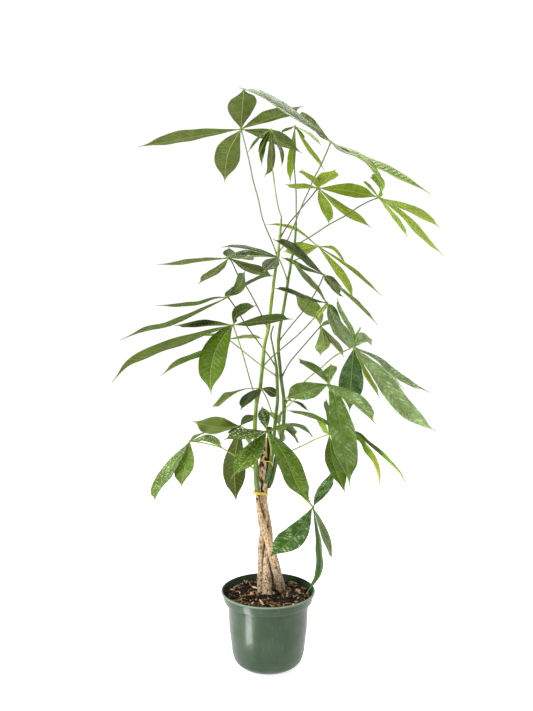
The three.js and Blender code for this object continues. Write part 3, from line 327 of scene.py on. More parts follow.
# The leaves, each as leaf_at and leaflet describe it
LEAVES = {
    "leaf_01_top_left": leaf_at(
        "olive", "olive", (241, 129), 0, "stem_left", 256,
        [(272, 242), (263, 220), (258, 198), (253, 180), (250, 165), (246, 148)],
        leaflet((138, 147), 188, FAR, 11, UNDER, (190, 136)),
        leaflet((244, 88), 170, NEAR, 28, UNDER),
        leaflet((224.5, 182), 175, FAR, 29, UNDER, (228, 154)),
        leaflet((303, 106), 158, NEAR, 12, UNDER, (274, 115.5)),
        leaflet((302, 153), 142, FAR, 13, UNDER, (271, 136)),
    ),
    "leaf_02_top_bud": leaf_at(
        "fresh", "tan", (271, 129.5), 0, "stem_left", None,
        [(279, 210), (276, 195), (274, 180), (272, 165), (271, 147)],
        leaflet((248, 152), 70, NEAR, 2.5, TOP, (260, 137)),
        leaflet((259, 156), 72, NEAR, 4, TOP, (264, 140)),
        leaflet((261.5, 166), 80, NEAR, 5, TOP, (264, 146)),
        leaflet((264, 177), 90, FAR, 8, TOP, (272, 150), (270, 167), green="olive"),
        leaflet((282, 167), 82, NEAR, 4, TOP, (277, 142), (281, 152)),
    ),
    "leaf_03_top_young": leaf_at(
        "lime", "dark", (295, 126), 116, "stem_right", None,
        [(296.2, 210), (296, 190), (294.5, 170), (294, 150)],
        leaflet((281, 133), 55, FAR, 3, UNDER, green="dark"),
        leaflet((290, 184), 125, FAR, 8, UNDER, (292.5, 152), sheen=0.0),
        leaflet((325, 171), 128, FAR, 4.5, UNDER, (307, 146)),
        leaflet((322, 146), 85, NEAR, 2.5, TOP, (308, 133)),
        leaflet((303, 139), 80, FAR, 3.5, UNDER, green="dark"),
    ),
    "leaf_04_top_front": leaf_at(
        "olive", "olive", (331, 142), -150, "stem_left", 252,
        [(287, 241), (293, 228), (303, 203), (309, 190), (313, 180), (321, 165), (325, 156)],
        leaflet((239, 87.5), 172, NEAR, 7.5, TOP, (318, 131.5), (290, 112.5), (262, 95.5), sheen=0.4),
        leaflet((297, 114), 140, FAR, 9, UNDER, sheen=0.5),
        leaflet((431, 194), 184, FAR, 7, TOP, (345, 150), (375, 164.5), (405, 179),
                green="yellow", sheen=0.0),
        leaflet((385.5, 188), 140, NEAR, 4.5, TOP, (363, 158), green="yellow", sheen=0.0),
        leaflet((359, 157), 95, NEAR, 5, TOP, (345, 151), sheen=0.0),
        sheen=0.3,
    ),
    "leaf_05_upper_right": leaf_at(
        "lime", "brown", (318, 188), 0, "stem_left", 237,
        [(290, 222), (297, 214), (303, 206), (310, 198)],
        leaflet((285, 184.5), 88, NEAR, 5.5, UNDER, (300, 186.5)),
        leaflet((301, 169.5), 117, NEAR, 7, UNDER),
        leaflet((335.5, 169.5), 117, NEAR, 14, UNDER),
        leaflet((379, 197.5), 114, FAR, 13, UNDER, (348, 190)),
        leaflet((372, 228), 136, FAR, 8.5, UNDER, (344, 210)),
        leaflet((329, 224.5), 115, FAR, 11.5, UNDER, (325, 206)),
    ),
    "leaf_06_far_right": leaf_at(
        "yellow", "dark", (379, 197.5), -30, "stem_right", 246,
        [(310, 237), (330, 224), (345, 216), (360, 206), (372, 200)],
        leaflet((363, 181.5), 90, NEAR, 2.5, TOP),
        leaflet((370, 177), 122, NEAR, 8, TOP, (380.5, 187), dry=1.0),
        leaflet((441, 228), 150, FAR, 8, UNDER, (410, 209)),
        leaflet((444, 256), 164, NEAR, 6.5, UNDER, (400, 213.5), (421, 234.5)),
        leaflet((408, 237.5), 135, FAR, 4.8, UNDER, (392, 214)),
    ),
    "leaf_07_behind_right": leaf_at(
        "lime", "yellow", (318, 246), 44, "stem_right", 262,
        [(304, 256)],
        leaflet((266, 224.5), 114, FAR, 2.5, UNDER, (297, 230), (280, 225)),
        leaflet((283, 252), 100, FAR, 14, UNDER),
        leaflet((348, 267), 88, NEAR, 3, UNDER, (333, 249)),
        leaflet((354, 300), 140, FAR, 8, UNDER, (333, 264), (344, 280)),
        leaflet((382, 296), 156, FAR, 3, UNDER, (350, 268)),
    ),
    "leaf_08_front_right": leaf_at(
        "olive", "dark", (324, 275), -60, "stem_right", 341,
        [(290, 327), (304, 310), (312, 298), (319, 286)],
        leaflet((273, 239), 150, NEAR, 9.5, TOP, (298, 253), green="dark", sheen=0.35),
        leaflet((281, 257), 108, NEAR, 4.5, TOP, (300, 266), green="moss"),
        leaflet((339, 295.5), 92, NEAR, 7.5, TOP),
        leaflet((342, 287), 80, FAR, 4, TOP),
        leaflet((343.5, 297), 98, FAR, 3.5, TOP, (332, 287)),
        leaflet((378, 325), 138, FAR, 3, UNDER, (340, 288), (357, 303), green="moss"),
    ),
    "leaf_09_front_middle": leaf_at(
        "dark", "yellow", (278, 257), -18, "stem_right", 281,
        [(283, 268)],
        leaflet((221, 247), 110, NEAR, 3, TOP, (265, 252), (250, 248.5), (235, 246.5)),
        leaflet((223, 258), 104, NEAR, 5, TOP, (250, 253), green="sage"),
        leaflet((237, 259), 88, FAR, 2.5, TOP, (257, 256), green="sage"),
        leaflet((264, 272), 96, NEAR, 14, TOP, sheen=0.0),
    ),
    "leaf_10_upper_left": leaf_at(
        "olive", "dark", (229, 258), 26, "stem_left", 328,
        [(262, 316), (254, 300), (246, 286), (238, 275), (232, 262)],
        leaflet((229, 247.5), 76, NEAR, 13, TOP),
        leaflet((157, 264.5), 142, FAR, 4.5, TOP, (205, 260), (175, 263.5)),
        leaflet((198, 284), 122, NEAR, 8, TOP, (216, 270.5)),
        leaflet((273, 276), 116, FAR, 10, UNDER, (250, 268)),
        leaflet((255, 258), 100, FAR, 6, TOP),
    ),
    "leaf_11_left": leaf_at(
        "olive", "dark", (228, 297), 12, "stem_middle", 366,
        [(270, 357.5), (262, 347), (246, 325), (235, 307)],
        leaflet((245, 271), 105, NEAR, 12, TOP, (240, 284)),
        leaflet((273, 276), 120, FAR, 3, UNDER, (245, 285), (262, 277), green="dark"),
        leaflet((156, 305.5), 140, FAR, 4, TOP, (215, 298), (200, 303), (185, 305)),
        leaflet((120, 340), 212, NEAR, 4.5, TOP, (205, 308), (170, 324), (145, 330)),
        leaflet((232, 287), 90, FAR, 5, TOP, green="dark"),
    ),
    "leaf_12_left_front": leaf_at(
        "dark", "yellow", (233, 325), -60, "stem_left", 401,
        [(250, 380), (245, 362), (240, 345)],
        leaflet((174, 325.5), 136, FAR, 7, TOP, (204, 324)),
        leaflet((256, 305.5), 104, FAR, 11, UNDER, (237, 313)),
        leaflet((293, 319), 144, NEAR, 10, TOP, (262, 320.5)),
        leaflet((112, 382), 228, NEAR, 9.5, TOP, (215, 330), (180, 342), (150, 353), (128, 365),
                green="olive"),
        leaflet((211, 394), 152, NEAR, 31, TOP, (225, 334), (215, 352), (210.5, 372), green="fresh"),
    ),
    "leaf_13_left_back": leaf_at(
        "moss", "yellow", (228, 339), 46, "stem_middle", 376,
        [(258, 363), (243, 351)],
        leaflet((263, 338.5), 104, FAR, 4, UNDER, (245, 337)),
        leaflet((203, 334), 100, FAR, 4, TOP),
        leaflet((160, 376), 156, NEAR, 6, TOP, (200, 354), (180, 362.5)),
        leaflet((214, 352), 96, FAR, 6, UNDER),
    ),
    "leaf_14_right_front": leaf_at(
        "sage", "olive", (327, 303), -84, "stem_left", 366,
        [(272, 357), (285, 346), (300, 333), (315, 317)],
        leaflet((274, 288), 124, NEAR, 4.5, TOP, (310, 299), (290, 292), green="dark"),
        leaflet((292, 261), 136, NEAR, 5.5, TOP, (318, 290), (304, 276)),
        leaflet((350, 349.5), 140, NEAR, 14, TOP, (337, 325), (345, 340)),
        leaflet((341, 320), 78, FAR, 4.5, TOP, green="fresh"),
        leaflet((318, 318), 70, FAR, 6, UNDER, green="yellow"),
        sheen=0.3,
    ),
    "leaf_15_right_back": leaf_at(
        "moss", "dark", (321, 326), 34, "stem_right", 377,
        [(290, 362), (300, 350), (313, 335)],
        leaflet((320, 356), 118, FAR, 15, UNDER, (323.5, 342)),
        leaflet((294, 293), 104, NEAR, 18, UNDER, (318, 314), (307, 304.5)),
        leaflet((344, 357), 118, FAR, 6.5, UNDER, (332, 340), green="olive"),
        leaflet((339, 321), 96, FAR, 5, TOP),
        leaflet((325, 347), 96, FAR, 6, UNDER),
        sheen=0.3,
    ),
    "leaf_16_right": leaf_at(
        "moss", "yellow", (354, 347), -100, "stem_right", 404,
        [(305, 381), (322, 367), (335, 356), (348, 349.5)],
        leaflet((337, 298), 138, FAR, 5.5, TOP, (350, 330), (343, 316), dry=1.0, green="pale", sheen=0.9),
        leaflet((373, 340), 104, FAR, 13, TOP, (363, 339.5), green="pale", sheen=0.9),
        leaflet((360, 327), 88, FAR, 4, TOP, green="pale", sheen=0.4),
        leaflet((430, 392.5), 156, FAR, 7, TOP, (375, 358), (400, 377.5), green="sage", sheen=1.0),
        leaflet((405, 390), 126, FAR, 3.5, UNDER, (380, 368), green="pale", sheen=0.6),
        leaflet((436, 431), 200, NEAR, 18, TOP, (369, 363.5), (381.5, 378), (401, 405), (418, 421),
                green="sage", sheen=0.7),
        leaflet((349.5, 412), 150, FAR, 28, TOP, (352, 368), green="deep", sheen=0.25),
        leaflet((380, 398), 118, FAR, 5, UNDER, (367, 376), green="lime", sheen=0.0),
        sheen=0.4,
    ),
    "leaf_17_right_low_front": leaf_at(
        "moss", "yellow", (329, 384), -140, "stem_right", 409,
        [(300, 396), (315, 390)],
        leaflet((285, 399), 118, NEAR, 19, TOP, (305, 391)),
        leaflet((298, 358), 112, FAR, 8, TOP, (313, 368)),
        leaflet((331, 364), 92, FAR, 14, TOP, sheen=0.7),
        leaflet((375.5, 424), 142, NEAR, 13, TOP, (337, 389), (357, 402), sheen=0.7),
        leaflet((350, 487), 178, NEAR, 25, TOP, (335, 397), (341, 425), (346, 458)),
        sheen=0.45,
    ),
    "leaf_18_right_low": leaf_at(
        "moss", "yellow", (329, 434), -60, "stem_right", 457,
        [(293, 450), (305, 444.5), (316, 439)],
        leaflet((316, 419), 88, FAR, 8, UNDER, green="spring"),
        leaflet((345.5, 494), 128, NEAR, 16, TOP, (333, 460), green="fresh", sheen=0.2),
        leaflet((326, 398.5), 116, FAR, 8, TOP, (329, 416)),
        leaflet((286, 410), 124, FAR, 4.5, TOP, (330, 426), (318, 418.8), (303, 413.6)),
        leaflet((407.5, 490), 172, FAR, 2.4, TOP, (356, 433), (370, 443.8), (391, 462.5), (402, 475.5),
                green="dark", tip_green="spring", sheen=0.0),
        leaflet((379.4, 490), 146, FAR, 6, TOP, (358, 439), (366, 449.5), (374, 461), (379, 474),
                green="spring", sheen=0.0, tip_green="pistachio"),
    ),
    "leaf_19_left_small": leaf_at(
        "dark", "yellow", (261, 388), -23, "stem_middle", 421,
        [(271, 410), (267, 399)],
        leaflet((212, 407), 112, NEAR, 8, UNDER, (245, 389), (230, 395), widest=3.6, green="moss"),
        leaflet((240.5, 410), 104, NEAR, 11, TOP, (251, 396)),
        leaflet((279, 397), 60, FAR, 13, TOP, (270, 391)),
    ),
    "leaf_20_left_low": leaf_at(
        "moss", "yellow", (240, 426), 22, "stem_left", 434,
        [(248, 430)],
        leaflet((193, 421.5), 130, NEAR, 18, UNDER, (216, 426)),
        leaflet((257, 415), 88, FAR, 9, TOP, (248.5, 419), green="dark"),
        leaflet((230, 434), 78, NEAR, 4, TOP, green="dark"),
        leaflet((236, 503), 152, FAR, 23, UNDER, (237.5, 441), (234.5, 464), green="olive"),
        leaflet((250, 446), 90, FAR, 6, UNDER),
    ),
    "leaf_21_left_lowest": leaf_at(
        "moss", "bright", (190, 441), -20, "stem_left", 469,
        [(240, 459.5), (232, 454), (222, 448), (206, 443.5)],
        leaflet((154, 502), 150, NEAR, 13, TOP, (173, 463.5), (160, 485), specks=0.5),
        leaflet((181, 488), 122, NEAR, 18, TOP, (185, 465)),
        leaflet((223, 448), 104, NEAR, 8, TOP, (207, 439), specks=0.6),
        leaflet((205, 432), 80, FAR, 3, TOP),
        sheen=0.35,
    ),
    "leaf_22_front_low": leaf_at(
        "fresh", "bright", (267, 431), -70, "stem_middle", 455,
        [(270, 443)],
        leaflet((262, 406), 74, FAR, 17, TOP, specks=1.0),
        leaflet((224, 439.5), 118, NEAR, 12, TOP, (247, 434), specks=1.0),
        leaflet((231, 478.5), 138, NEAR, 20, TOP, (252, 452), specks=0.35),
        leaflet((312, 505), 160, NEAR, 22, TOP, (279, 446), (289.5, 465), (297.5, 484.5),
                specks=0.15, sheen=0.2),
        leaflet((287, 428), 104, NEAR, 6, TOP),
    ),
    "leaf_23_lowest_right": leaf_at(
        "fresh", "bright", (313, 507), -58, "stem_right", 461,
        [(287, 478), (300, 494)],
        leaflet((332, 471), 116, FAR, 12, TOP, (323.5, 491), green="deep", sheen=0.75),
        leaflet((268, 558), 150, NEAR, 23, TOP, (295, 535), green="deep", sheen=0.75),
        leaflet((306, 594), 148, NEAR, 7, TOP, (319, 545), (319, 573), green="deep", sheen=0.0),
        leaflet((332.5, 560), 128, FAR, 8, TOP, (322.5, 531), (329, 546), sheen=0.15),
    ),
    "leaf_24_between_stems": leaf_at(
        "sage", "yellow", (279.5, 425), 27, "stem_right", 438,
        [(280, 431)],
        leaflet((298, 432), 80, FAR, 7, TOP),
        leaflet((300, 444), 90, FAR, 4, TOP, (292, 434), green="moss"),
        leaflet((281, 442), 88, FAR, 8, UNDER),
        leaflet((271, 411), 86, FAR, 8, TOP),
        leaflet((281, 411), 80, FAR, 5, TOP),
        leaflet((314, 438), 102, FAR, 4, TOP, (297, 426), (306, 430)),
    ),
    "leaf_25_small": leaf_at(
        "dark", "yellow", (290, 400), 22, "stem_right", 401,
        [],
        leaflet((309, 411), 44, FAR, 3, TOP, (300, 404)),
    ),
}


# Places, lines and sections

# How far to either side a line's direction is taken, as a share of its length
LOOK_AHEAD = 0.004
# At how many places of a line its picture rows are looked up
LOOK_UPS = 501


def seen(column, row, depth):
    """A point of the plant from where it shows and how deep it lies."""
    far = depth - EYE[1]
    x = EYE[0] + (column - CENTRE_COL) * far / FOCAL
    z = EYE[2] - (row - CENTRE_ROW) * far / FOCAL
    return np.array([x, depth, z])


def row_of(points):
    """The picture rows at which points show."""
    return CENTRE_ROW + (EYE[2] - points[:, 2]) * FOCAL / (points[:, 1] - EYE[1])


def unit(vector):
    return vector / np.linalg.norm(vector, axis=-1, keepdims=True)


def span(before, start, end, after, shares):
    """One span of a centripetal Catmull-Rom curve at some shares of it."""
    gaps = [np.linalg.norm(b - a) ** 0.5 for a, b in ((before, start), (start, end), (end, after))]
    leave = (start - before) / gaps[0] - (end - before) / (gaps[0] + gaps[1]) + (end - start) / gaps[1]
    arrive = (end - start) / gaps[1] - (after - start) / (gaps[1] + gaps[2]) + (after - end) / gaps[2]
    leave = leave * gaps[1]
    arrive = arrive * gaps[1]
    s = shares[:, None]
    square = -3 * start + 3 * end - 2 * leave - arrive
    cube = 2 * start - 2 * end + leave + arrive
    return start + leave * s + square * s ** 2 + cube * s ** 3


class Line:
    """A smooth line through points, with a place and a direction at each share of its length."""

    def __init__(self, points, steps=16):
        points = [np.asarray(point, float) for point in points]
        ends = [2 * points[0] - points[1], *points, 2 * points[-1] - points[-2]]
        shares = np.linspace(0, 1, steps, endpoint=False)
        rows = [span(*ends[i:i + 4], shares) for i in range(len(points) - 1)]
        self.points = points
        self.path = np.vstack([*rows, points[-1]])
        lengths = np.linalg.norm(np.diff(self.path, axis=0), axis=1)
        self.run = np.concatenate([[0], np.cumsum(lengths)])
        self.length = self.run[-1]

    def at(self, share):
        run = np.atleast_1d(share) * self.length
        return np.stack([np.interp(run, self.run, self.path[:, axis]) for axis in range(3)], axis=1)

    def along(self, share):
        share = np.atleast_1d(share)
        ahead = np.minimum(share + LOOK_AHEAD, 1)
        return unit(self.at(ahead) - self.at(np.maximum(ahead - 2 * LOOK_AHEAD, 0)))

    def share_at_row(self, row):
        shares = np.linspace(0, 1, LOOK_UPS)
        return shares[np.argmin(abs(row_of(self.at(shares)) - row))]


def line_through(start, places, end):
    """A smooth line from one point to another through picture places, its depth changing evenly."""
    middle = (start[1] + end[1]) / 2
    path = np.array([start, *[seen(*place, middle) for place in places], end])
    run = np.cumsum(np.linalg.norm(np.diff(path, axis=0), axis=1))
    depths = start[1] + (end[1] - start[1]) * run[:-1] / run[-1]
    return Line([start, *[seen(*place, depth) for place, depth in zip(places, depths)], end])


def radius_along(line, radii):
    """Gives the radius of a stem at shares of its length, from the radii at its points."""
    points = np.array(line.points)
    run = np.concatenate([[0], np.cumsum(np.linalg.norm(np.diff(points, axis=0), axis=1))])
    return lambda share: np.interp(np.asarray(share) * run[-1], run, radii)


def crossways(along):
    """Two directions across a line at each of its points, which turn no more than the line does."""
    start = np.cross(along[0], (0, 1, 0) if abs(along[0][1]) < 0.9 else (1, 0, 0))
    normals = [unit(start)]
    for direction in along[1:]:
        last = normals[-1]
        normals.append(unit(last - direction * (last @ direction)))
    normals = np.array(normals)
    return normals, np.cross(along, normals)


def smooth(low, high, value):
    """Rises smoothly from 0 at low to 1 at high."""
    share = np.clip((value - low) / (high - low), 0, 1)
    return share * share * (3 - 2 * share)


def hump(distance, spread):
    """A soft hump of height 1 at distance 0."""
    return np.exp(-(distance / spread) ** 2)


def three(a, b, c):
    """Three numbers for each point, from arrays or single numbers."""
    return np.stack(np.broadcast_arrays(a, b, c), axis=-1).reshape(-1, 3)


def noise_at(places):
    return np.array([noise.noise(Vector(place)) for place in places])


# Shapes: points, faces, and what the materials read from them

def colour(code):
    """Linear colour of a six-digit colour code."""
    parts = [(code >> shift & 255) / 255 for shift in (16, 8, 0)]
    return np.array([p / 12.92 if p <= 0.04045 else ((p + 0.055) / 1.055) ** 2.4 for p in parts])


def show(name, data):
    """A new object in the scene."""
    item = bpy.data.objects.new(name, data)
    bpy.context.scene.collection.objects.link(item)
    return item


class Shape:
    """A mesh gathered part by part. form and marks are three numbers a point, tint is its colour."""

    def __init__(self):
        self.points, self.faces, self.kinds = [], [], []
        self.form, self.marks, self.tint = [], [], []
        self.count = 0

    def add(self, points, faces, kind=0, form=(0, 0, 0), marks=(0, 0, 0), tint=(1, 1, 1)):
        number = len(points)
        self.points.append(points)
        self.faces.extend([tuple(corner + self.count for corner in face) for face in faces])
        self.kinds.extend(np.broadcast_to(kind, len(faces)).tolist())
        self.form.append(np.broadcast_to(form, (number, 3)))
        self.marks.append(np.broadcast_to(marks, (number, 3)))
        self.tint.append(np.broadcast_to(tint, (number, 3)))
        self.count += number

    def mesh(self, name):
        mesh = bpy.data.meshes.new(name)
        mesh.from_pydata((np.vstack(self.points) * MM).tolist(), [], self.faces)
        return mesh

    def make(self, node, materials, crease=50):
        """Makes the fine piece, which rides on the part's body in place of a CAD node."""
        mesh = self.mesh(node + "_fine")
        for material in materials:
            mesh.materials.append(material)
        mesh.polygons.foreach_set("material_index", self.kinds)
        mesh.polygons.foreach_set("use_smooth", [True] * len(self.faces))
        for key, values in (("form", self.form), ("marks", self.marks)):
            layer = mesh.attributes.new(key, "FLOAT_VECTOR", "POINT")
            layer.data.foreach_set("vector", np.vstack(values).astype(np.float32).ravel())
        tint = np.hstack([np.vstack(self.tint), np.ones((self.count, 1))])
        layer = mesh.attributes.new("tint", "FLOAT_COLOR", "POINT")
        layer.data.foreach_set("color", tint.astype(np.float32).ravel())
        mesh.set_sharp_from_angle(angle=math.radians(crease))
        mesh.validate()
        piece = show(node + "_fine", mesh)
        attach(piece, "root")
        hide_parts(node)
        return piece


def grid_faces(rows, columns, closed=False):
    """Faces between rows of points, wound so that they face out where a ring turns left."""
    faces = []
    for row in range(rows - 1):
        for column in range(columns if closed else columns - 1):
            low = row * columns + column
            low_next = row * columns + (column + 1) % columns
            faces.append((low, low_next, low_next + columns, low + columns))
    return faces


def cap(tip, first, sides, under=False):
    """Faces that close the ring of points after first to a tip, facing on, or back where under is set."""
    edges = [(first + k, first + (k + 1) % sides) for k in range(sides)]
    return [(tip, b, a) if under else (tip, a, b) for a, b in edges]


def sheet_faces(rows, columns):
    """Faces of a sheet with a thickness: its upper side, then its underside and its rim."""
    count = rows * columns
    top = grid_faces(rows, columns)
    under = [tuple(count + corner for corner in face[::-1]) for face in top]
    for row in range(rows - 1):
        left, left_on = row * columns, (row + 1) * columns
        right, right_on = left + columns - 1, left_on + columns - 1
        under.append((left, left_on, left_on + count, left + count))
        under.append((right, right + count, right_on + count, right_on))
    last = (rows - 1) * columns
    for column in range(columns - 1):
        under.append((column + 1, column, column + count, column + 1 + count))
        under.append((last + column, last + column + 1, last + column + 1 + count, last + column + count))
    return top, under


def tube(line, steps, sides, radius_at):
    """Points and faces of a closed tube along a line, with the share and the angle of each point."""
    shares = np.linspace(0, 1, steps + 1)
    angles = np.linspace(0, 2 * math.pi, sides, endpoint=False)
    centres = line.at(shares)
    normals, others = crossways(line.along(shares))
    radius = np.broadcast_to(radius_at(shares[:, None], angles[None, :]), (steps + 1, sides))
    ring = normals[:, None] * np.cos(angles)[None, :, None] + others[:, None] * np.sin(angles)[None, :, None]
    points = (centres[:, None] + ring * radius[:, :, None]).reshape(-1, 3)
    count = len(points)
    faces = grid_faces(steps + 1, sides, closed=True)
    faces += cap(count, 0, sides, under=True) + cap(count + 1, steps * sides, sides)
    points = np.vstack([points, centres[0], centres[-1]])
    share = np.concatenate([np.repeat(shares, sides), [0, 1]])
    angle = np.concatenate([np.tile(angles, steps + 1), [0, 0]])
    return points, faces, share, angle


def egg(centre, radii, steps=8, sides=12):
    """Points and faces of an egg with three radii."""
    rise = np.linspace(-math.pi / 2, math.pi / 2, steps + 1)[1:-1]
    turn = np.linspace(0, 2 * math.pi, sides, endpoint=False)
    level, around = np.meshgrid(rise, turn, indexing="ij")
    ring = three(np.cos(level) * np.cos(around), np.cos(level) * np.sin(around), np.sin(level))
    points = np.vstack([ring, [0, 0, -1], [0, 0, 1]])
    count = len(ring)
    faces = grid_faces(steps - 1, sides, closed=True)
    faces += cap(count, 0, sides, under=True) + cap(count + 1, count - sides, sides)
    return centre + points * radii, faces


def turned(profile, sides):
    """Rings of points round the part's axis, one for each (radius, height) of a profile."""
    angles = np.linspace(0, 2 * math.pi, sides, endpoint=False)
    cos, sin = np.cos(angles), np.sin(angles)
    return np.vstack([three(radius * cos, radius * sin, height) for radius, height in profile])


# Leaves

def tip_point(start, place, length, away):
    """The end of a leaflet of a given length, on the line of sight through its tip."""
    ray = seen(*place, EYE[1] + 1) - EYE
    back = EYE - start
    square = ray @ ray
    half = ray @ back
    rest = half * half - square * (back @ back - length * length)
    return EYE + ray * (-half + away * math.sqrt(max(0, rest))) / square


def blade_share(t, widest):
    """The breadth of a blade from root to tip, as a share of its greatest, its tip drawn out thin."""
    t = np.clip(t / (1 - DRIP_TIP), 0, 1)
    return np.sin(math.pi * t ** widest) ** (0.9 + 0.2 * t) * (1 - TIP_TAPER * smooth(*TIP_TAPER_SPAN, t))


def blade_course(hub, blade):
    """A blade's midrib, its length from end to end, its breadth, and the way that its upper side faces."""
    end = tip_point(hub, blade["tip"], blade["length"], blade["away"])
    start = hub + (end - hub) * HUB_INSET / np.linalg.norm(end - hub)
    straight = np.linalg.norm(end - start)
    breadth = max(BLADE_BREADTH * straight, LEAST_BREADTH)
    middle = (start + end) / 2
    lie = unit(end - start)
    side = -1 if np.cross(lie, unit(EYE - middle))[2] < 0 else 1
    shown = blade["shows"] * (middle[1] - EYE[1]) / FOCAL
    flat = min(1, shown / breadth)
    edge_on = math.sqrt(1 - flat * flat)

    def up_at(points, along):
        """Turned from the viewer as far as makes the blade show its breadth in the picture."""
        to_eye = unit(EYE - points)
        level = unit(np.cross(along, to_eye)) * side
        facing = unit(to_eye - along * np.sum(along * to_eye, axis=1, keepdims=True))
        return unit(facing * blade["face"] * flat + level * edge_on)

    if blade["via"]:
        midrib = line_through(start, blade["via"], end)
    else:
        arch = up_at(middle[None], lie[None])[0] * BLADE_ARCH * straight
        midrib = Line([start, middle + arch, end])
    return midrib, straight, breadth, up_at


def add_blade(shape, hub, blade, leaf, draw):
    """One leaflet, folded a little along its rib, with waved edges, a groove above and a rib beneath."""
    midrib, straight, breadth, up_at = blade_course(hub, blade)
    stations = BLADE_STATIONS[straight > LONG_BLADE]
    t = (np.linspace(0, 1, stations) ** 0.95)[:, None]
    across = np.array([-share for share in BLADE_COLUMNS[:0:-1]] + BLADE_COLUMNS)[None, :]
    centre = midrib.at(t[:, 0])
    along = midrib.along(t[:, 0])
    up = up_at(centre, along)
    right = np.cross(along, up)

    half = np.maximum(breadth / 2 * blade_share(t, blade["widest"]), LEAST_HALF)
    out = abs(across)
    fold = BLADE_FOLD * half * (out ** 1.2 - RIB_DROP)
    belly = BLADE_BELLY * half * np.sin(math.pi * out)
    waves = draw.uniform(*WAVES)
    turns = np.where(across < 0, draw.uniform(0, 6), draw.uniform(0, 6))
    ripple = np.sin(2 * math.pi * waves * t + turns)
    wave = WAVE_RISE * half * ripple * out ** 2.2 * np.sin(math.pi * t) ** 0.5
    reach = half * (1 + WAVE_REACH * np.sin(2 * math.pi * (waves + 2.3) * t + turns) * out)
    x = across * reach
    rib = 1.0 - RIB_TAPER * t
    above = BLADE_THICKNESS / 2 - GROOVE[0] * rib * hump(x, GROOVE[1] * rib)
    below = -BLADE_THICKNESS / 2 - RIB[0] * rib * hump(x, RIB[1] * rib)
    sheets = []
    for face in (above, below):
        height = fold + belly + wave + face
        sheet = centre[:, None] + right[:, None] * x[:, :, None] + up[:, None] * height[:, :, None]
        sheets.append(sheet.reshape(-1, 3))

    spacing = VEIN_GAP + VEIN_GAP_GROWTH * straight
    vein = (t * midrib.length - VEIN_SLANT * abs(x) - VEIN_BEND * x * x / half) / spacing
    # The third number says how strongly the sheen painted on this blade shows
    form = three(abs(x), vein, leaf["sheen"] if blade["sheen"] is None else blade["sheen"])
    tone = draw.uniform(0, 1)
    dry = blade["dry"] * smooth(0.8, 1, t + 0.06 * np.sin(9 * across + 4 * tone))
    marks = three(blade["specks"], dry, tone)
    own_green = blade["green"] or leaf["green"]
    face_greens = zip(GREENS[own_green], GREENS[blade["tip_green"] or own_green])
    to_tip = np.repeat(smooth(*TIP_GREEN_SPAN, t), across.size, axis=1).reshape(-1, 1)
    tint = np.vstack([colour(green) * (1 - to_tip) + colour(tip) * to_tip for green, tip in face_greens])
    top, under = sheet_faces(stations, across.size)
    kinds = [0] * len(top) + [1] * len(under)
    shape.add(np.vstack(sheets), top + under, kinds, np.tile(form, (2, 1)), np.tile(marks, (2, 1)), tint)

    root = Line([hub, *midrib.at(np.array([0.02, 0.06, 0.1]))])
    neck, neck_faces, *_ = tube(root, 6, 8, lambda share, _: NECK_RADIUS - NECK_TAPER * share)
    shape.add(neck, neck_faces, 2, tint=colour(HUB_GREEN))


def top_stalk(line, stalk, centre):
    """The stalk of a stem's last leaf, which carries the stem on from its end."""
    onward = line.along(1)[0]
    start = line.at(1)[0] - TOP_STALK_OVERLAP * onward
    points = line_through(start, stalk, centre).points
    return Line([points[0], start + onward * TOP_STALK_LEAD, *points[1:]])


def stalk_start(line, radius, row, towards):
    """Where a leaf's stalk starts, beside its stem at a picture row."""
    share = line.share_at_row(row)
    centre = line.at(share)[0]
    along = line.along(share)[0]
    out = towards - centre
    out = unit(out - along * (out @ along))
    return centre + out * STALK_START * float(radius(share))


def make_leaf(name, leaf, stems, materials, draw):
    """A leaf: its stalk, the hub where its leaflets meet, and the leaflets."""
    shape = Shape()
    line, radius = stems[leaf["stem"]]
    centre = seen(*leaf["hub"], leaf["depth"])
    if leaf["row"] is None:
        stalk = top_stalk(line, leaf["stalk"], centre)
        foot = float(radius(1))
    else:
        towards = seen(*leaf["stalk"][0], leaf["depth"] / 4) if leaf["stalk"] else centre
        stalk = line_through(stalk_start(line, radius, leaf["row"], towards), leaf["stalk"], centre)
        foot = STALK_FOOT

    def stalk_radius(share, _):
        run = share * stalk.length
        swelling = (foot - STALK_RADIUS) * hump(run, STALK_FOOT_SPREAD)
        return STALK_RADIUS + swelling + STALK_KNEE * hump(stalk.length - run, STALK_KNEE_SPREAD)

    steps = max(12, int(stalk.length / STALK_STEP))
    points, faces, share, _ = tube(stalk, steps, STALK_SIDES, stalk_radius)
    foot_shade = STALK_END_SHADE * smooth(0.06, 0, share)[:, None]
    tint = colour(STALK_GREENS[leaf["stalk_green"]]) * (1 - foot_shade)
    # No material reads this draw, which keeps the later ones in order
    shape.add(points, faces, 2, marks=(0, 0, draw.uniform()), tint=tint)
    hub, hub_faces = egg(centre, HUB_SIZE)
    shape.add(hub, hub_faces, 2, tint=colour(HUB_GREEN))
    for blade in leaf["leaflets"]:
        add_blade(shape, centre, blade, leaf, draw)
    shape.make(name, materials)


# Stems and trunk

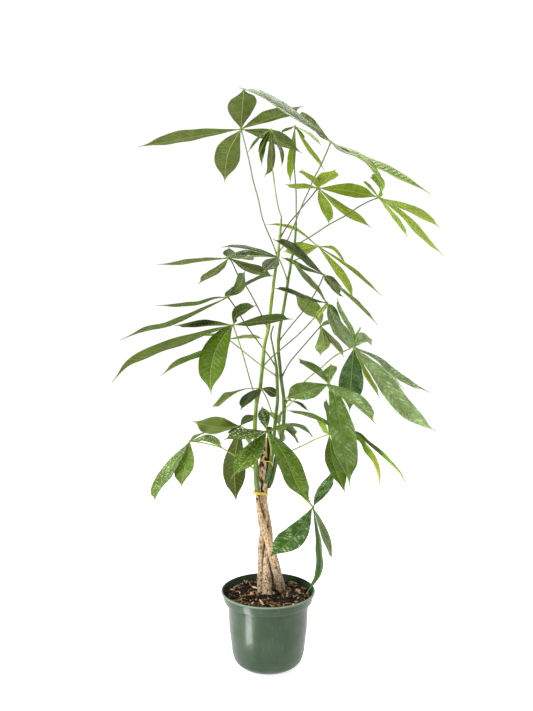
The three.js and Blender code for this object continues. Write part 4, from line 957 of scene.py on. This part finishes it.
def make_stem(name, points, joints, material):
    """A green stem, thicker where leaves grow from it, in a line from the trunk."""
    line = Line([seen(*point[:3]) for point in points])
    radius = radius_along(line, [point[3] for point in points])
    knots = [line.share_at_row(row) * line.length for row in joints]

    def radius_at(share, angle):
        run = share * line.length
        uneven = STEM_RIDGE * np.cos(3 * angle + run / 23) + STEM_SWELL * np.sin(run / 9)
        size = radius(share) * (1 + uneven)
        for knot in knots:
            size = size * (1 + KNOT_SIZE * hump(run - knot, KNOT_SPREAD))
        return size

    points, faces, share, _ = tube(line, int(line.length / STEM_STEP), STEM_SIDES, radius_at)
    low, high = (colour(code) for code in STEM_GREENS[name])
    rise = smooth(0.0, 0.35, share)[:, None]
    out = points - line.at(share)
    # Painted light and shade: the left side of the stem is made lighter and its right side darker
    to_right = out[:, :1] / np.maximum(np.linalg.norm(out, axis=1, keepdims=True), 0.1)
    tint = (low * (1 - rise) + high * rise) * (1 - SHADED_SIDE * to_right)
    near = np.max([hump(share * line.length - knot, KNOT_TINT_SPREAD) for knot in knots], axis=0)
    shape = Shape()
    shape.add(points, faces, 0, three(near, share, 0), (1, 0, 0), tint)
    shape.make(name, [material])
    return line, radius


def bark_relief(points, age, seed):
    """Height of the bark over its strand: ridges along it, bumps and grit, rougher where it is old."""
    ridges = 1 - 2 * abs(noise_at(points * RIDGES + [seed, 0, 0]))
    bumps = noise_at(points * BUMPS + [0, seed, 0])
    grit = noise_at(points * GRIT + [0, 0, seed])
    relief = 0.45 * ridges + 0.55 * bumps + 0.25 * grit
    return relief * (0.25 + 0.75 * age)


def strand_line(points):
    """The course and the radius of a strand of the trunk, from its buried foot to its top."""
    above = [seen(*point[:3]) for point in points]
    foot = above[0]
    buried = [np.array([foot[0], foot[1], height]) for height in ROOT_HEIGHTS]
    line = Line([*buried, *above])
    return line, radius_along(line, [points[0][3]] * len(buried) + [point[3] for point in points])


def room_to(points, others):
    """How far points are from the nearest of some other strands."""
    gaps = []
    shares = np.linspace(0, 1, 160)
    for line, radius in others:
        away = np.linalg.norm(points[:, None] - line.at(shares)[None], axis=2)
        gaps.append(np.min(away - radius(shares)[None], axis=1))
    return np.min(gaps, axis=0)


def seam_at(row, depth):
    """How far across the open seam is at a row of the picture."""
    cols, rows = zip(*OPEN_SEAM)
    return EYE[0] + (np.interp(row, rows, cols) - CENTRE_COL) * (depth - EYE[1]) / FOCAL


def make_strand(name, strands, material, seed):
    """A strand of the trunk, its bark rough, dark in its scars, with shade painted where strands meet."""
    line, radius = strands[name]
    knobbed = name == "trunk_strand_left"
    steps = int(line.length / STRAND_STEP)
    tops, faces, share, angle = tube(line, steps, STRAND_SIDES, lambda share, _: radius(share) + 0.1)
    centres = line.at(share)
    out = tops - centres
    size = np.maximum(np.linalg.norm(out, axis=1, keepdims=True), 1e-6)
    age = smooth(*OLD_BARK_HEIGHTS, tops[:, 2])
    relief = bark_relief(tops, age, seed)
    swell = BARK_SWELL * relief
    row = row_of(centres)
    if knobbed:
        swell = swell + KNOB_RISE * hump(row - KNOB_ROW, KNOB_SPREAD) * (0.6 + 0.4 * np.cos(angle - 2))
    on_surface = size[:, 0] > 0.01
    points = tops + out / size * (swell * on_surface)[:, None]

    # Painted shade near the other strands, darkest where they touch, in one mask with the scars' own dark
    shade_and_scars = smooth(*SEAM_ROOM, room_to(points, [strand for key, strand in strands.items() if key != name]))
    for place, reach in SCARS[name]:
        away = np.linalg.norm((points - seen(*place)) * SCAR_STRETCH, axis=1)
        shade_and_scars = np.maximum(shade_and_scars, smooth(reach, 0.5 * reach, away))
    if knobbed:
        # Painted shade in a crease under the knob
        crease = hump(row - KNOB_ROW - KNOB_CREASE_DROP, KNOB_CREASE_SPREAD)
        shade_and_scars = np.maximum(shade_and_scars, KNOB_CREASE_SHARE * crease)
    else:
        # Painted shade along the open seam on the front of the strand
        aside = abs(points[:, 0] - seam_at(row_of(points), points[:, 1]))
        front = (points[:, 1] < centres[:, 1]) & (row > OPEN_SEAM[0][1]) & (row < OPEN_SEAM[-1][1])
        shade_and_scars = np.maximum(shade_and_scars, smooth(SEAM_WIDTH, 0.4 * SEAM_WIDTH, aside) * front)
    cracked = CRACKED_SHARE[name] * smooth(*CRACKED_ROWS[name], row)
    dead = smooth(*STUMP_ROWS, row) if name == "trunk_strand_back" else 0
    shape = Shape()
    shape.add(points, faces, 0, three(relief, age, 0), three(dead, shade_and_scars, cracked))
    shape.make(name, [material])


def make_tie(name, tubes, row, slope, wire, twist, turns, material):
    """A twist tie: two wires wound round each other, drawn tight round the trunk, with a free end."""
    ring = []
    for angle in np.linspace(0, 2 * math.pi, TIE_POINTS, endpoint=False):
        out = np.array([math.cos(angle), math.sin(angle), 0])
        place = row + slope * out[0]
        shares = [line.share_at_row(place) for line, radius in tubes]
        held = [(line.at(share)[0], float(radius(share))) for share, (line, radius) in zip(shares, tubes)]
        centre, size = max(held, key=lambda one: one[0] @ out + one[1])
        point = centre + out * (size + wire + twist[0])
        point[2] = seen(CENTRE_COL, place, point[1])[2]
        ring.append(point)
    for _ in range(TIE_EASING):
        ring = (np.roll(ring, 1, axis=0) + 2 * np.array(ring) + np.roll(ring, -1, axis=0)) / 4
    ring = np.roll(ring, -int(TIE_EAR_PLACE * len(ring)), axis=0)
    ear = [ring[-1] + np.array(step) for step in TIE_EAR]
    path = Line([*ring[::4], ring[-2], *ear], steps=6)
    shares = np.linspace(0, 1, TIE_STEPS + 1)
    along = path.along(shares)
    side = unit(np.cross(along, [0.0, 0.0, 1.0]))
    up = np.cross(side, along)
    shape = Shape()
    for phase in (0, math.pi):
        turn = 2 * math.pi * turns * shares + phase
        offset = side * (twist[0] * np.cos(turn))[:, None] + up * (twist[1] * np.sin(turn))[:, None]
        strand = Line(path.at(shares) + offset, steps=1)
        points, faces, share, _ = tube(strand, TIE_STEPS, 8, lambda share, _: wire)
        # How far out the wire lies, which the material turns into painted shade where it dips inward
        outward = np.cos(2 * math.pi * turns * share + phase)
        shape.add(points, faces, 0, three(outward, 0, 0))
    shape.make(name, [material])


# Pot and soil

def rounded(profile, radius, steps=5):
    """A profile with its corners rounded."""
    points = [np.array(point, float) for point in profile]
    smoothed = [points[0]]
    for before, corner, after in zip(points, points[1:], points[2:]):
        into, out = before - corner, after - corner
        cut = min(radius, 0.45 * np.linalg.norm(into), 0.45 * np.linalg.norm(out))
        first, last = corner + unit(into) * cut, corner + unit(out) * cut
        for share in np.linspace(0, 1, steps):
            ends = (1 - share) ** 2 * first + share ** 2 * last
            smoothed.append(ends + 2 * share * (1 - share) * corner)
    smoothed.append(points[-1])
    return smoothed


def make_pot(material):
    """The pot, turned on its axis from one closed profile, with holes in its floor."""
    rim = POT_LIP[-1][0]
    outside = rounded([(0, 0), (POT_FOOT, 0), *POT_BODY, *POT_COLLAR], OUTSIDE_CORNER)
    lip = rounded([POT_COLLAR[-1], *POT_LIP, (rim - LIP_BREADTH, POT_HEIGHT - 0.4)], LIP_CORNER)
    inner = [(radius - POT_WALL, height + INSIDE_RISE) for radius, height in [*POT_BODY, *POT_COLLAR]]
    inside = rounded([*inner[::-1], (POT_FOOT, POT_FLOOR), (0, POT_FLOOR)], INSIDE_CORNER)
    profile = np.array([*outside, *lip[1:], *inside])
    points = turned(profile[1:-1], POT_SIDES)
    count = len(points)
    faces = grid_faces(len(profile) - 2, POT_SIDES, closed=True)
    faces += cap(count, 0, POT_SIDES, under=True) + cap(count + 1, count - POT_SIDES, POT_SIDES)
    points = np.vstack([points, [0, 0, profile[0][1]], [0, 0, profile[-1][1]]])
    reach = np.hypot(points[:, 0], points[:, 1])
    # Where the lip is, which takes a painted highlight
    on_lip = smooth(POT_HEIGHT - 3, POT_HEIGHT - 1, points[:, 2]) * smooth(rim - 2, rim - 0.5, reach)
    shape = Shape()
    shape.add(points, faces, 0, three(on_lip, 0, 0))
    pot = shape.make("pot", [material], POT_CREASE)
    cutters = Shape()
    for i in range(DRAIN_HOLES):
        angle = 2 * math.pi * (i + 0.5) / DRAIN_HOLES
        x, y = DRAIN_CIRCLE * math.cos(angle), DRAIN_CIRCLE * math.sin(angle)
        upward = Line([(x, y, -4), (x, y, 4), (x, y, 12)])
        hole, hole_faces, *_ = tube(upward, 2, 32, lambda *_: DRAIN_RADIUS)
        cutters.add(hole, hole_faces)
    cut_out(pot, cutters)


def cut_out(piece, shape):
    """Cuts a shape out of a piece."""
    cutter = show("cutter", shape.mesh("cutter"))
    cut = piece.modifiers.new("cut", "BOOLEAN")
    cut.operation = "DIFFERENCE"
    cut.solver = "EXACT"
    cut.object = cutter
    bpy.context.view_layer.update()
    view = bpy.context.evaluated_depsgraph_get()
    result = bpy.data.meshes.new_from_object(piece.evaluated_get(view))
    piece.modifiers.clear()
    piece.data = result
    bpy.data.objects.remove(cutter)


def soil_height(x, y):
    """Height of the soil's lumpy surface."""
    large, small = SOIL_LUMPS
    return SOIL_HEIGHT + large * np.sin(0.13 * x + 1) * np.cos(0.11 * y) + small * np.sin(0.41 * y + 0.3 * x)


def add_soil(shape):
    """The soil itself, crumbly above and as wide as the pot lets it be."""
    top = turned([(radius, 0) for radius in np.linspace(1, SOIL_REACH, SOIL_RINGS)], SOIL_SIDES)
    coarse = noise_at(top * COARSE_CRUMBS + [0, 0, 3])
    crumbs = coarse + FINE_CRUMB_SHARE * noise_at(top * FINE_CRUMBS + [0, 0, 9])
    top[:, 2] = soil_height(top[:, 0], top[:, 1]) - CRUMB_DROP + CRUMB_RISE * crumbs
    wall = [(radius - POT_WALL - SOIL_GAP, height + INSIDE_RISE) for radius, height in POT_BODY[::-1]]
    sides = turned([*SOIL_CORNER, *wall], SOIL_SIDES)
    points = np.vstack([top, sides])
    count = len(points)
    faces = [face[::-1] for face in grid_faces(count // SOIL_SIDES, SOIL_SIDES, closed=True)]
    faces += cap(count, 0, SOIL_SIDES) + cap(count + 1, count - SOIL_SIDES, SOIL_SIDES, under=True)
    points = np.vstack([points, [0, 0, soil_height(0, 0)], [0, 0, POT_FLOOR + SOIL_FLOOR_GAP]])
    relief = np.concatenate([crumbs, np.zeros(len(points) - len(crumbs))])
    shape.add(points, faces, 0, three(relief, 0, 0), tint=colour(SOIL_BROWN))


def chip_points(size, draw):
    """A splinter of bark: a flat bar with broken ends and uneven sides."""
    points = []
    for end in CHIP_STATIONS:
        taper = 1 - CHIP_TAPER * abs(end) ** 3
        for side, level in ((-1, -1), (1, -1), (1, 1), (-1, 1)):
            jog = draw.uniform(-CHIP_JOG, CHIP_JOG, 3)
            points.append(np.array([end, side * taper, level * taper]) * (1 + jog))
    return np.array(points) * np.array(size) / 2


CHIP_FACES = grid_faces(len(CHIP_STATIONS), 4, closed=True) + [(3, 2, 1, 0), (12, 13, 14, 15)]


def add_chip(shape, size, place, tilt, turn, tint, draw):
    """A bark chip lying in the soil."""
    points = chip_points(size, draw)
    for axis, angle in ((0, tilt[0]), (1, tilt[1]), (2, turn)):
        a, b = [(1, 2), (2, 0), (0, 1)][axis]
        cos, sin = math.cos(angle), math.sin(angle)
        points[:, [a, b]] = points[:, [a, b]] @ np.array([[cos, sin], [-sin, cos]])
    # No material reads this draw, which keeps the later ones in order
    shape.add(points + np.array(place), CHIP_FACES, 0, marks=(0, 0, draw.uniform()), tint=tint)


def make_soil(material, strands, draw):
    """The soil under a litter of bark chips, light and dark, which keep clear of the trunk's feet."""
    shape = Shape()
    add_soil(shape)
    browns = [colour(code) for code in CHIP_BROWNS]
    feet = [line.at(0)[0] for line, _ in strands.values()]
    for i in range(CHIPS):
        long = draw.uniform(*SHORT_CHIP) if i % 3 else draw.uniform(*LONG_CHIP)
        reach = (SOIL_REACH - 1 - CHIP_INSET * long) * math.sqrt(draw.uniform())
        turn = draw.uniform(0, 2 * math.pi)
        x, y = reach * math.cos(turn), reach * math.sin(turn)
        if any(math.hypot(x - foot[0], y - foot[1]) < CHIP_CLEARANCE for foot in feet):
            continue
        breadth = draw.uniform(*CHIP_BREADTH) + CHIP_WIDENING * long
        size = (long, breadth, draw.uniform(*CHIP_THICKNESS))
        tone = browns[draw.choice(len(browns), p=list(CHIP_BROWNS.values()))] * draw.uniform(0.8, 1.2)
        place = (x, y, soil_height(x, y) + draw.uniform(*CHIP_LIFT))
        tilt = draw.uniform(-CHIP_TILT, CHIP_TILT, 2)
        add_chip(shape, size, place, tilt, draw.uniform(0, math.pi), tone, draw)
    for (x, y), turn, size, code in LARGE_CHIPS:
        height = float(soil_height(x, y)) + LARGE_CHIP_LIFT
        add_chip(shape, size, (x, y, height), LARGE_CHIP_TILT, turn, colour(code), draw)
    shape.make("soil", [material], CHIP_CREASE)


# Faces of a blade: the rise of its pillows between veins, its relief, roughness and specular level
BLADE_FACES = {
    "leaf_upper_face": {"pillow": 1.4, "relief": 0.26, "rough": (0.3, 0.46), "specular": 0.26},
    "leaf_underside": {"pillow": -0.6, "relief": 0.2, "rough": (0.56, 0.7), "specular": 0.16},
}
VEIN_STRENGTH = 0.32
RIB_STRENGTH = 0.75
GRAIN_RELIEF = 0.05
LET_THROUGH = 0.35

# Colours of the materials
VEIN_PALE = (0.56, 0.64, 0.26)
# The pale colour of the sheen painted on leaves
PAINTED_LEAF_SHEEN = 0xbed2ba
DRY_LEAF = (0x8a5a2c, 0xb07c3c)
SPECK_WHITE = 0xe4ecd8
LIGHT_THROUGH = (2.0, 2.0, 0.55)
LENTICEL_TAN = 0xa98e62
KNOT_BROWN = 0x6d6a38
YOUNG_BARK = (0x9c7853, 0xe2c6a0)
OLD_BARK = (0x6c4e36, 0xc2a47e)
BARK_RUST = 0xa5703f
BARK_RIDGE = 0xeed9b6
BARK_HOLLOW = 0x3c2818
LENTICEL_PALE = 0xf8eedb
CRACK_BROWN = 0x2c1810
# Painted shade between strands, along the open seam and under the knob, and the dark of the scars
SHADE_AND_SCAR_BROWN = 0x2c1c10
DEAD_WOOD = (0x1e140e, 0x4e3828)
# Painted shade in the soil's hollows
SOIL_HOLLOW_SHADE = 0x0f0a07
POT_GREENS = (0x31442f, 0x3a4c38)
SCUFF_GREY = 0x7c917c
# Painted highlight on the pot's lip
PAINTED_LIP_HIGHLIGHT = 0x9cb298
# The tie's yellow, and the deeper orange of the shade painted where its wire dips inward
TIE_YELLOW_AND_SHADE = (0xf2d41c, 0xb0700c)
TIE_HIGHLIGHT = 0xf6ee78
FLOOR_WHITES = ((0.86, 0.86, 0.86), (0.9, 0.9, 0.9))


class Nodes:
    """A material's nodes, added and linked by short calls."""

    def __init__(self, name):
        self.material = bpy.data.materials.new(name)
        self.material.use_nodes = True
        self.tree = self.material.node_tree
        self.tree.nodes.clear()

    def add(self, kind, values=None, **settings):
        node = self.tree.nodes.new("ShaderNode" + kind)
        for key, value in settings.items():
            setattr(node, key, value)
        for key, value in (values or {}).items():
            self.put(node.inputs[key], value)
        return node

    def put(self, socket, value):
        if isinstance(value, bpy.types.NodeSocket):
            self.tree.links.new(value, socket)
        elif socket.type == "RGBA":
            socket.default_value = (*(colour(value) if isinstance(value, int) else value), 1)
        else:
            socket.default_value = value

    def tint(self):
        """The colour that the mesh holds at each point."""
        return self.add("Attribute", attribute_name="tint").outputs["Color"]

    def parts(self, name):
        """The three numbers that the mesh holds at each point."""
        vector = self.add("Attribute", attribute_name=name).outputs["Vector"]
        return self.add("SeparateXYZ", {"Vector": vector}).outputs

    def reckon(self, kind, a, b):
        return self.add("Math", {0: a, 1: b}, operation=kind).outputs[0]

    def plus(self, a, b):
        return self.reckon("ADD", a, b)

    def times(self, a, b):
        return self.reckon("MULTIPLY", a, b)

    def ramp(self, value, low, high, to_low=0.0, to_high=1.0):
        """Goes smoothly from to_low to to_high while value goes from low to high."""
        values = {"Value": value, "From Min": low, "From Max": high, "To Min": to_low, "To Max": to_high}
        return self.add("MapRange", values, interpolation_type="SMOOTHSTEP").outputs["Result"]

    def mix(self, share, a, b, kind="MIX"):
        node = self.add("Mix", {0: share, 6: a, 7: b}, data_type="RGBA", blend_type=kind)
        return node.outputs[2]

    def shaded(self, base, level):
        """A colour, darker or lighter by a factor."""
        grey = self.add("CombineColor", {0: level, 1: level, 2: level}).outputs[0]
        return self.mix(1.0, base, grey, "MULTIPLY")

    def place(self, stretch):
        """The point's own place in millimetres, stretched."""
        point = self.add("TexCoord").outputs["Object"]
        scale = [share / MM for share in stretch]
        return self.add("VectorMath", {0: point, 1: scale}, operation="MULTIPLY").outputs[0]

    def noise(self, size, detail=2.0, stretch=(1, 1, 1)):
        """Noise whose patches are about size millimetres across."""
        values = {"Vector": self.place(stretch), "Scale": 1 / size, "Detail": detail}
        return self.add("TexNoise", values).outputs[0]

    def cells(self, size, stretch=(1, 1, 1)):
        """The distance from the middles of cells about size millimetres across."""
        values = {"Vector": self.place(stretch), "Scale": 1 / size}
        return self.add("TexVoronoi", values, feature="F1").outputs["Distance"]

    def bump(self, height, depth):
        """A relief of depth millimetres."""
        return self.add("Bump", {"Height": height, "Distance": depth * MM, "Strength": 1.0}).outputs["Normal"]

    def finish(self, base, rough, normal, specular=0.5, through=None, share=0.0, **fixed):
        """Ends in a surface, which lets a share of the light through in a colour where one is given."""
        values = {"Base Color": base, "Roughness": rough, "Normal": normal, "Specular IOR Level": specular}
        surface = self.add("BsdfPrincipled", {**values, **fixed})
        shader = surface.outputs["BSDF"]
        if through is not None:
            glow = self.add("BsdfTranslucent", {"Color": through})
            shader = self.add("MixShader", {0: share, 1: shader, 2: glow.outputs[0]}).outputs[0]
        self.add("OutputMaterial", {"Surface": shader})
        return self.material


def blade_material(name):
    """A face of the blades: glossy and grooved above, matt with raised veins beneath, with a painted sheen.
    """
    n = Nodes(name)
    face = BLADE_FACES[name]
    from_rib, vein, sheen = n.parts("form")
    speck, dry, tone = n.parts("marks")
    tint = n.tint()
    cloud = n.times(n.ramp(n.noise(26, 3), 0.3, 0.7, 0.84, 1.16), n.ramp(n.noise(8, 2), 0.3, 0.7, 0.92, 1.08))
    base = n.shaded(tint, n.times(cloud, n.ramp(tone, 0, 1, 0.9, 1.1)))
    half_vein = n.reckon("PINGPONG", vein, 0.5)
    vein_line = n.times(n.ramp(half_vein, 0.13, 0.02), n.ramp(from_rib, 0.4, 2.2))
    pillow = n.times(n.ramp(half_vein, 0, 0.45), n.ramp(from_rib, 0.4, 4))
    rib_line = n.ramp(from_rib, 1.05, 0.35)
    pale = n.mix(0.5, tint, VEIN_PALE)
    # Painted sheen: pale streaks between the veins, in patches, stand in for light gleaming on the blade
    catch = n.times(n.ramp(n.noise(15, 2), 0.4, 0.62), n.ramp(from_rib, 0.8, 3))
    broken = n.times(n.ramp(n.noise(3, 3), 0.36, 0.56), n.ramp(half_vein, 0.06, 0.32))
    base = n.mix(n.times(sheen, n.times(catch, broken)), base, PAINTED_LEAF_SHEEN)
    base = n.mix(n.times(vein_line, VEIN_STRENGTH), base, pale)
    base = n.mix(n.times(rib_line, RIB_STRENGTH), base, pale)
    base = n.mix(dry, base, n.mix(n.noise(3), *DRY_LEAF))
    if name == "leaf_upper_face":
        spots = n.times(n.ramp(n.cells(4.2), 0.4, 0.24), speck)
        base = n.mix(spots, base, SPECK_WHITE)
    height = n.plus(n.times(pillow, face["pillow"]), n.times(n.cells(0.9), GRAIN_RELIEF))
    rough = n.ramp(n.noise(9), 0.3, 0.7, *face["rough"])
    through = n.mix(1.0, base, LIGHT_THROUGH, "MULTIPLY")
    return n.finish(base, rough, n.bump(height, face["relief"]), face["specular"], through, LET_THROUGH)


def stem_material():
    """Green stems and stalks, streaked along, with tan lenticels on the stems."""
    n = Nodes("green_stem")
    knot, share, _ = n.parts("form")
    bark = n.parts("marks")[0]
    streak = n.ramp(n.noise(2.4, 3, (1, 1, 0.12)), 0.3, 0.7, 0.62, 1.38)
    base = n.shaded(n.tint(), streak)
    spots = n.ramp(n.cells(2.6, (1, 1, 0.5)), 0.26, 0.14)
    old = n.times(bark, n.ramp(share, 0.5, 0.05))
    base = n.mix(n.times(spots, n.times(old, 0.8)), base, LENTICEL_TAN)
    base = n.mix(n.times(knot, 0.35), base, KNOT_BROWN)
    height = n.plus(streak, n.times(spots, old))
    rough = n.ramp(streak, 0.62, 1.38, 0.4, 0.52)
    return n.finish(base, rough, n.bump(height, 0.12), specular=0.3)


def bark_material():
    """Tan bark, brown in its cracks and pale on its ridges, dead and dark on the stump, with painted shade.
    """
    n = Nodes("money_tree_bark")
    relief, age, _ = n.parts("form")
    dead, shade_and_scars, crack = n.parts("marks")
    patch = n.noise(13, 3, (1, 1, 0.4))
    grain = n.noise(2.5, 4, (1, 1, 0.55))
    young = n.mix(n.ramp(grain, 0.36, 0.62), *YOUNG_BARK)
    old = n.mix(n.ramp(grain, 0.4, 0.6), *OLD_BARK)
    base = n.mix(age, young, old)
    base = n.mix(n.times(n.ramp(patch, 0.5, 0.64, 0, 0.6), n.ramp(age, 0, 1, 0.25, 1)), base, BARK_RUST)
    base = n.mix(n.ramp(relief, 0.1, 0.5, 0, 0.7), base, BARK_RIDGE)
    base = n.mix(n.ramp(relief, -0.02, -0.36, 0, 0.9), base, BARK_HOLLOW)
    spots = n.ramp(n.cells(3.6, (1, 1, 0.7)), 0.36, 0.22)
    spots = n.times(spots, n.ramp(n.noise(9, 2), 0.32, 0.46))
    base = n.mix(n.times(spots, n.ramp(age, 0, 1, 0.12, 0.95)), base, LENTICEL_PALE)
    cracks = n.ramp(n.noise(4.5, 5, (1, 1, 0.4)), 0.46, 0.56)
    base = n.mix(n.times(cracks, crack), base, CRACK_BROWN)
    # Painted shade near other strands, along the open seam and under the knob, with the scars' own dark
    base = n.mix(n.times(shade_and_scars, 0.9), base, SHADE_AND_SCAR_BROWN)
    base = n.mix(n.times(dead, 0.9), base, n.mix(grain, *DEAD_WOOD))
    height = n.plus(grain, n.times(spots, 0.8))
    return n.finish(base, 0.82, n.bump(height, 0.6), specular=0.25)


def soil_material():
    """Dark potting soil and splinters of bark, light and dark in their grain, with painted shade in hollows.
    """
    n = Nodes("potting_soil")
    relief = n.parts("form")[0]
    grain = n.noise(2, 4)
    base = n.shaded(n.tint(), n.ramp(grain, 0.34, 0.66, 0.5, 1.5))
    # Painted shade: the soil is darker in its hollows
    base = n.mix(n.ramp(relief, -0.1, -0.6, 0, 0.8), base, SOIL_HOLLOW_SHADE)
    return n.finish(base, n.ramp(grain, 0.3, 0.7, 0.75, 0.98), n.bump(grain, 0.6), specular=0.2)


def pot_material():
    """Grey-green moulded plastic, lightly scuffed, faint rings from its mould, and a highlight painted on its
    lip.
    """
    n = Nodes("green_pot_plastic")
    base = n.mix(n.ramp(n.noise(34, 3), 0.35, 0.65), *POT_GREENS)
    scuffs = n.noise(5, 6, (1, 1, 0.16))
    base = n.mix(n.ramp(scuffs, 0.56, 0.74, 0, 0.1), base, SCUFF_GREY)
    rings = n.noise(2.2, 1, (0.02, 0.02, 1))
    height = n.plus(n.times(rings, 0.5), n.times(scuffs, 0.25))
    rough = n.ramp(n.noise(7, 4), 0.3, 0.7, 0.3, 0.42)
    on_lip = n.parts("form")[0]
    # Painted highlight along the lip
    base = n.mix(n.times(on_lip, 0.6), base, PAINTED_LIP_HIGHLIGHT)
    coat = {"Coat Weight": 0.14, "Coat Roughness": 0.05}
    return n.finish(base, rough, n.bump(height, 0.1), specular=0.2, **coat)


def tie_material():
    """Yellow plastic round thin wire, with shade painted where the wire dips inward, and painted highlights.
    """
    n = Nodes("yellow_tie_plastic")
    outward = n.parts("form")[0]
    # Painted shade, a deeper orange, where the wire dips inward
    base = n.mix(n.ramp(outward, 0.2, -0.8, 0, 0.7), *TIE_YELLOW_AND_SHADE)
    # Painted highlights in patches
    base = n.mix(n.ramp(n.noise(1.4, 2), 0.5, 0.7, 0, 0.35), base, TIE_HIGHLIGHT)
    return n.finish(base, 0.38, n.bump(n.noise(0.7, 2), 0.08))


def floor_material():
    """A plain pale floor, a little uneven as paper is, which glows so that it shows as white."""
    n = Nodes("pale_floor")
    base = n.mix(n.noise(40, 2), *FLOOR_WHITES)
    glow = {"Emission Color": (1, 1, 1), "Emission Strength": 0.78}
    return n.finish(base, 0.9, n.bump(n.noise(6, 2), 0.05), specular=0.1, **glow)


# Camera, floor and lights, in metres and watts
SENSOR = 36
FLOOR_REACH = 6.0
FLOOR_DROP = 0.0002
AMBIENT = 0.27
BACKDROP = 1.05
# Softboxes: place, where they aim, size and power
SOFTBOXES = {
    "key_left": ((-1.5, -1.3, 1.9), (0, 0, 0.5), (1.2, 1.2), 74),
    "top": ((0.3, 0.5, 2.3), (0, 0, 0.5), (1.4, 1.4), 40),
    "rim_right": ((1.7, 0.4, 0.9), (0, 0, 0.4), (0.5, 1.6), 5),
    "pot_streak": ((-0.08, -0.091, 0.044), (-0.031, -0.062, 0.08), (0.03, 0.05), 0.085),
}


def make_camera():
    lens = bpy.data.cameras.new("camera")
    lens.sensor_width = SENSOR
    lens.lens = SENSOR * FOCAL / PICTURE_HEIGHT
    camera = show("camera", lens)
    camera.location = Vector(EYE) * MM
    camera.rotation_euler = (math.pi / 2, 0, 0)
    bpy.context.scene.camera = camera


def make_floor():
    mesh = bpy.data.meshes.new("floor")
    corners = [(x * FLOOR_REACH, y * FLOOR_REACH, 0) for x, y in ((-1, -1), (1, -1), (1, 1), (-1, 1))]
    mesh.from_pydata(corners, [], [(0, 1, 2, 3)])
    mesh.materials.append(floor_material())
    floor = show("floor", mesh)
    floor.location.z = -FLOOR_DROP


def make_world():
    """Soft light from all around, and a white backdrop that only the camera sees."""
    world = bpy.data.worlds.new("studio")
    world.use_nodes = True
    tree = world.node_tree
    back = tree.nodes["Background"]
    path = tree.nodes.new("ShaderNodeLightPath")
    level = tree.nodes.new("ShaderNodeMapRange")
    level.inputs["To Min"].default_value = AMBIENT
    level.inputs["To Max"].default_value = BACKDROP
    tree.links.new(path.outputs["Is Camera Ray"], level.inputs["Value"])
    tree.links.new(level.outputs["Result"], back.inputs["Strength"])
    back.inputs["Color"].default_value = (1, 1, 1, 1)
    bpy.context.scene.world = world


def softbox(name, place, target, size, power):
    light = bpy.data.lights.new(name, "AREA")
    light.shape = "RECTANGLE"
    light.size, light.size_y = size
    light.energy = power
    box = show(name, light)
    box.location = place
    box.rotation_euler = (Vector(target) - Vector(place)).to_track_quat("-Z", "Y").to_euler()
    return box


def make_studio():
    """The camera, floor and lights. The smallest softbox shows only as a streak of light on the pot."""
    make_camera()
    make_floor()
    make_world()
    boxes = {name: softbox(name, *facts) for name, facts in SOFTBOXES.items()}
    boxes["pot_streak"].visible_camera = False
    boxes["pot_streak"].visible_diffuse = False
    bpy.context.scene.view_settings.view_transform = "Standard"


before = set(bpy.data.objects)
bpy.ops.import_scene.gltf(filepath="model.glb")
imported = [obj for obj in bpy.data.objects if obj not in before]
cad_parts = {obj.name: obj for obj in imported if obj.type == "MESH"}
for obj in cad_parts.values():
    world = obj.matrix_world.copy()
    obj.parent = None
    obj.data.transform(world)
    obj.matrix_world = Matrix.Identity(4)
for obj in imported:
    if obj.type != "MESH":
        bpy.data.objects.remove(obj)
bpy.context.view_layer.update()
make_studio()

blade_faces = [blade_material(name) for name in BLADE_FACES]
green_stem = stem_material()
bark = bark_material()
tie_plastic = tie_material()

strands = {name: strand_line(points) for name, points in STRANDS.items()}
for number, name in enumerate(strands):
    make_strand(name, strands, bark, BARK_SHIFT * number)

stems = {}
for name, points in STEMS.items():
    joints = [leaf["row"] for leaf in LEAVES.values() if leaf["stem"] == name and leaf["row"]]
    stems[name] = make_stem(name, points, joints, green_stem)

for number, (name, leaf) in enumerate(LEAVES.items()):
    make_leaf(name, leaf, stems, [*blade_faces, green_stem], np.random.default_rng(LEAF_SEED + number))

for name, tie in TIES.items():
    around = list(strands.values())
    if name == "twist_tie_upper":
        around = [strands["trunk_strand_left"], stems["stem_middle"]]
    make_tie(name, around, material=tie_plastic, **tie)

make_pot(pot_material())
make_soil(soil_material(), strands, np.random.default_rng(SOIL_SEED))
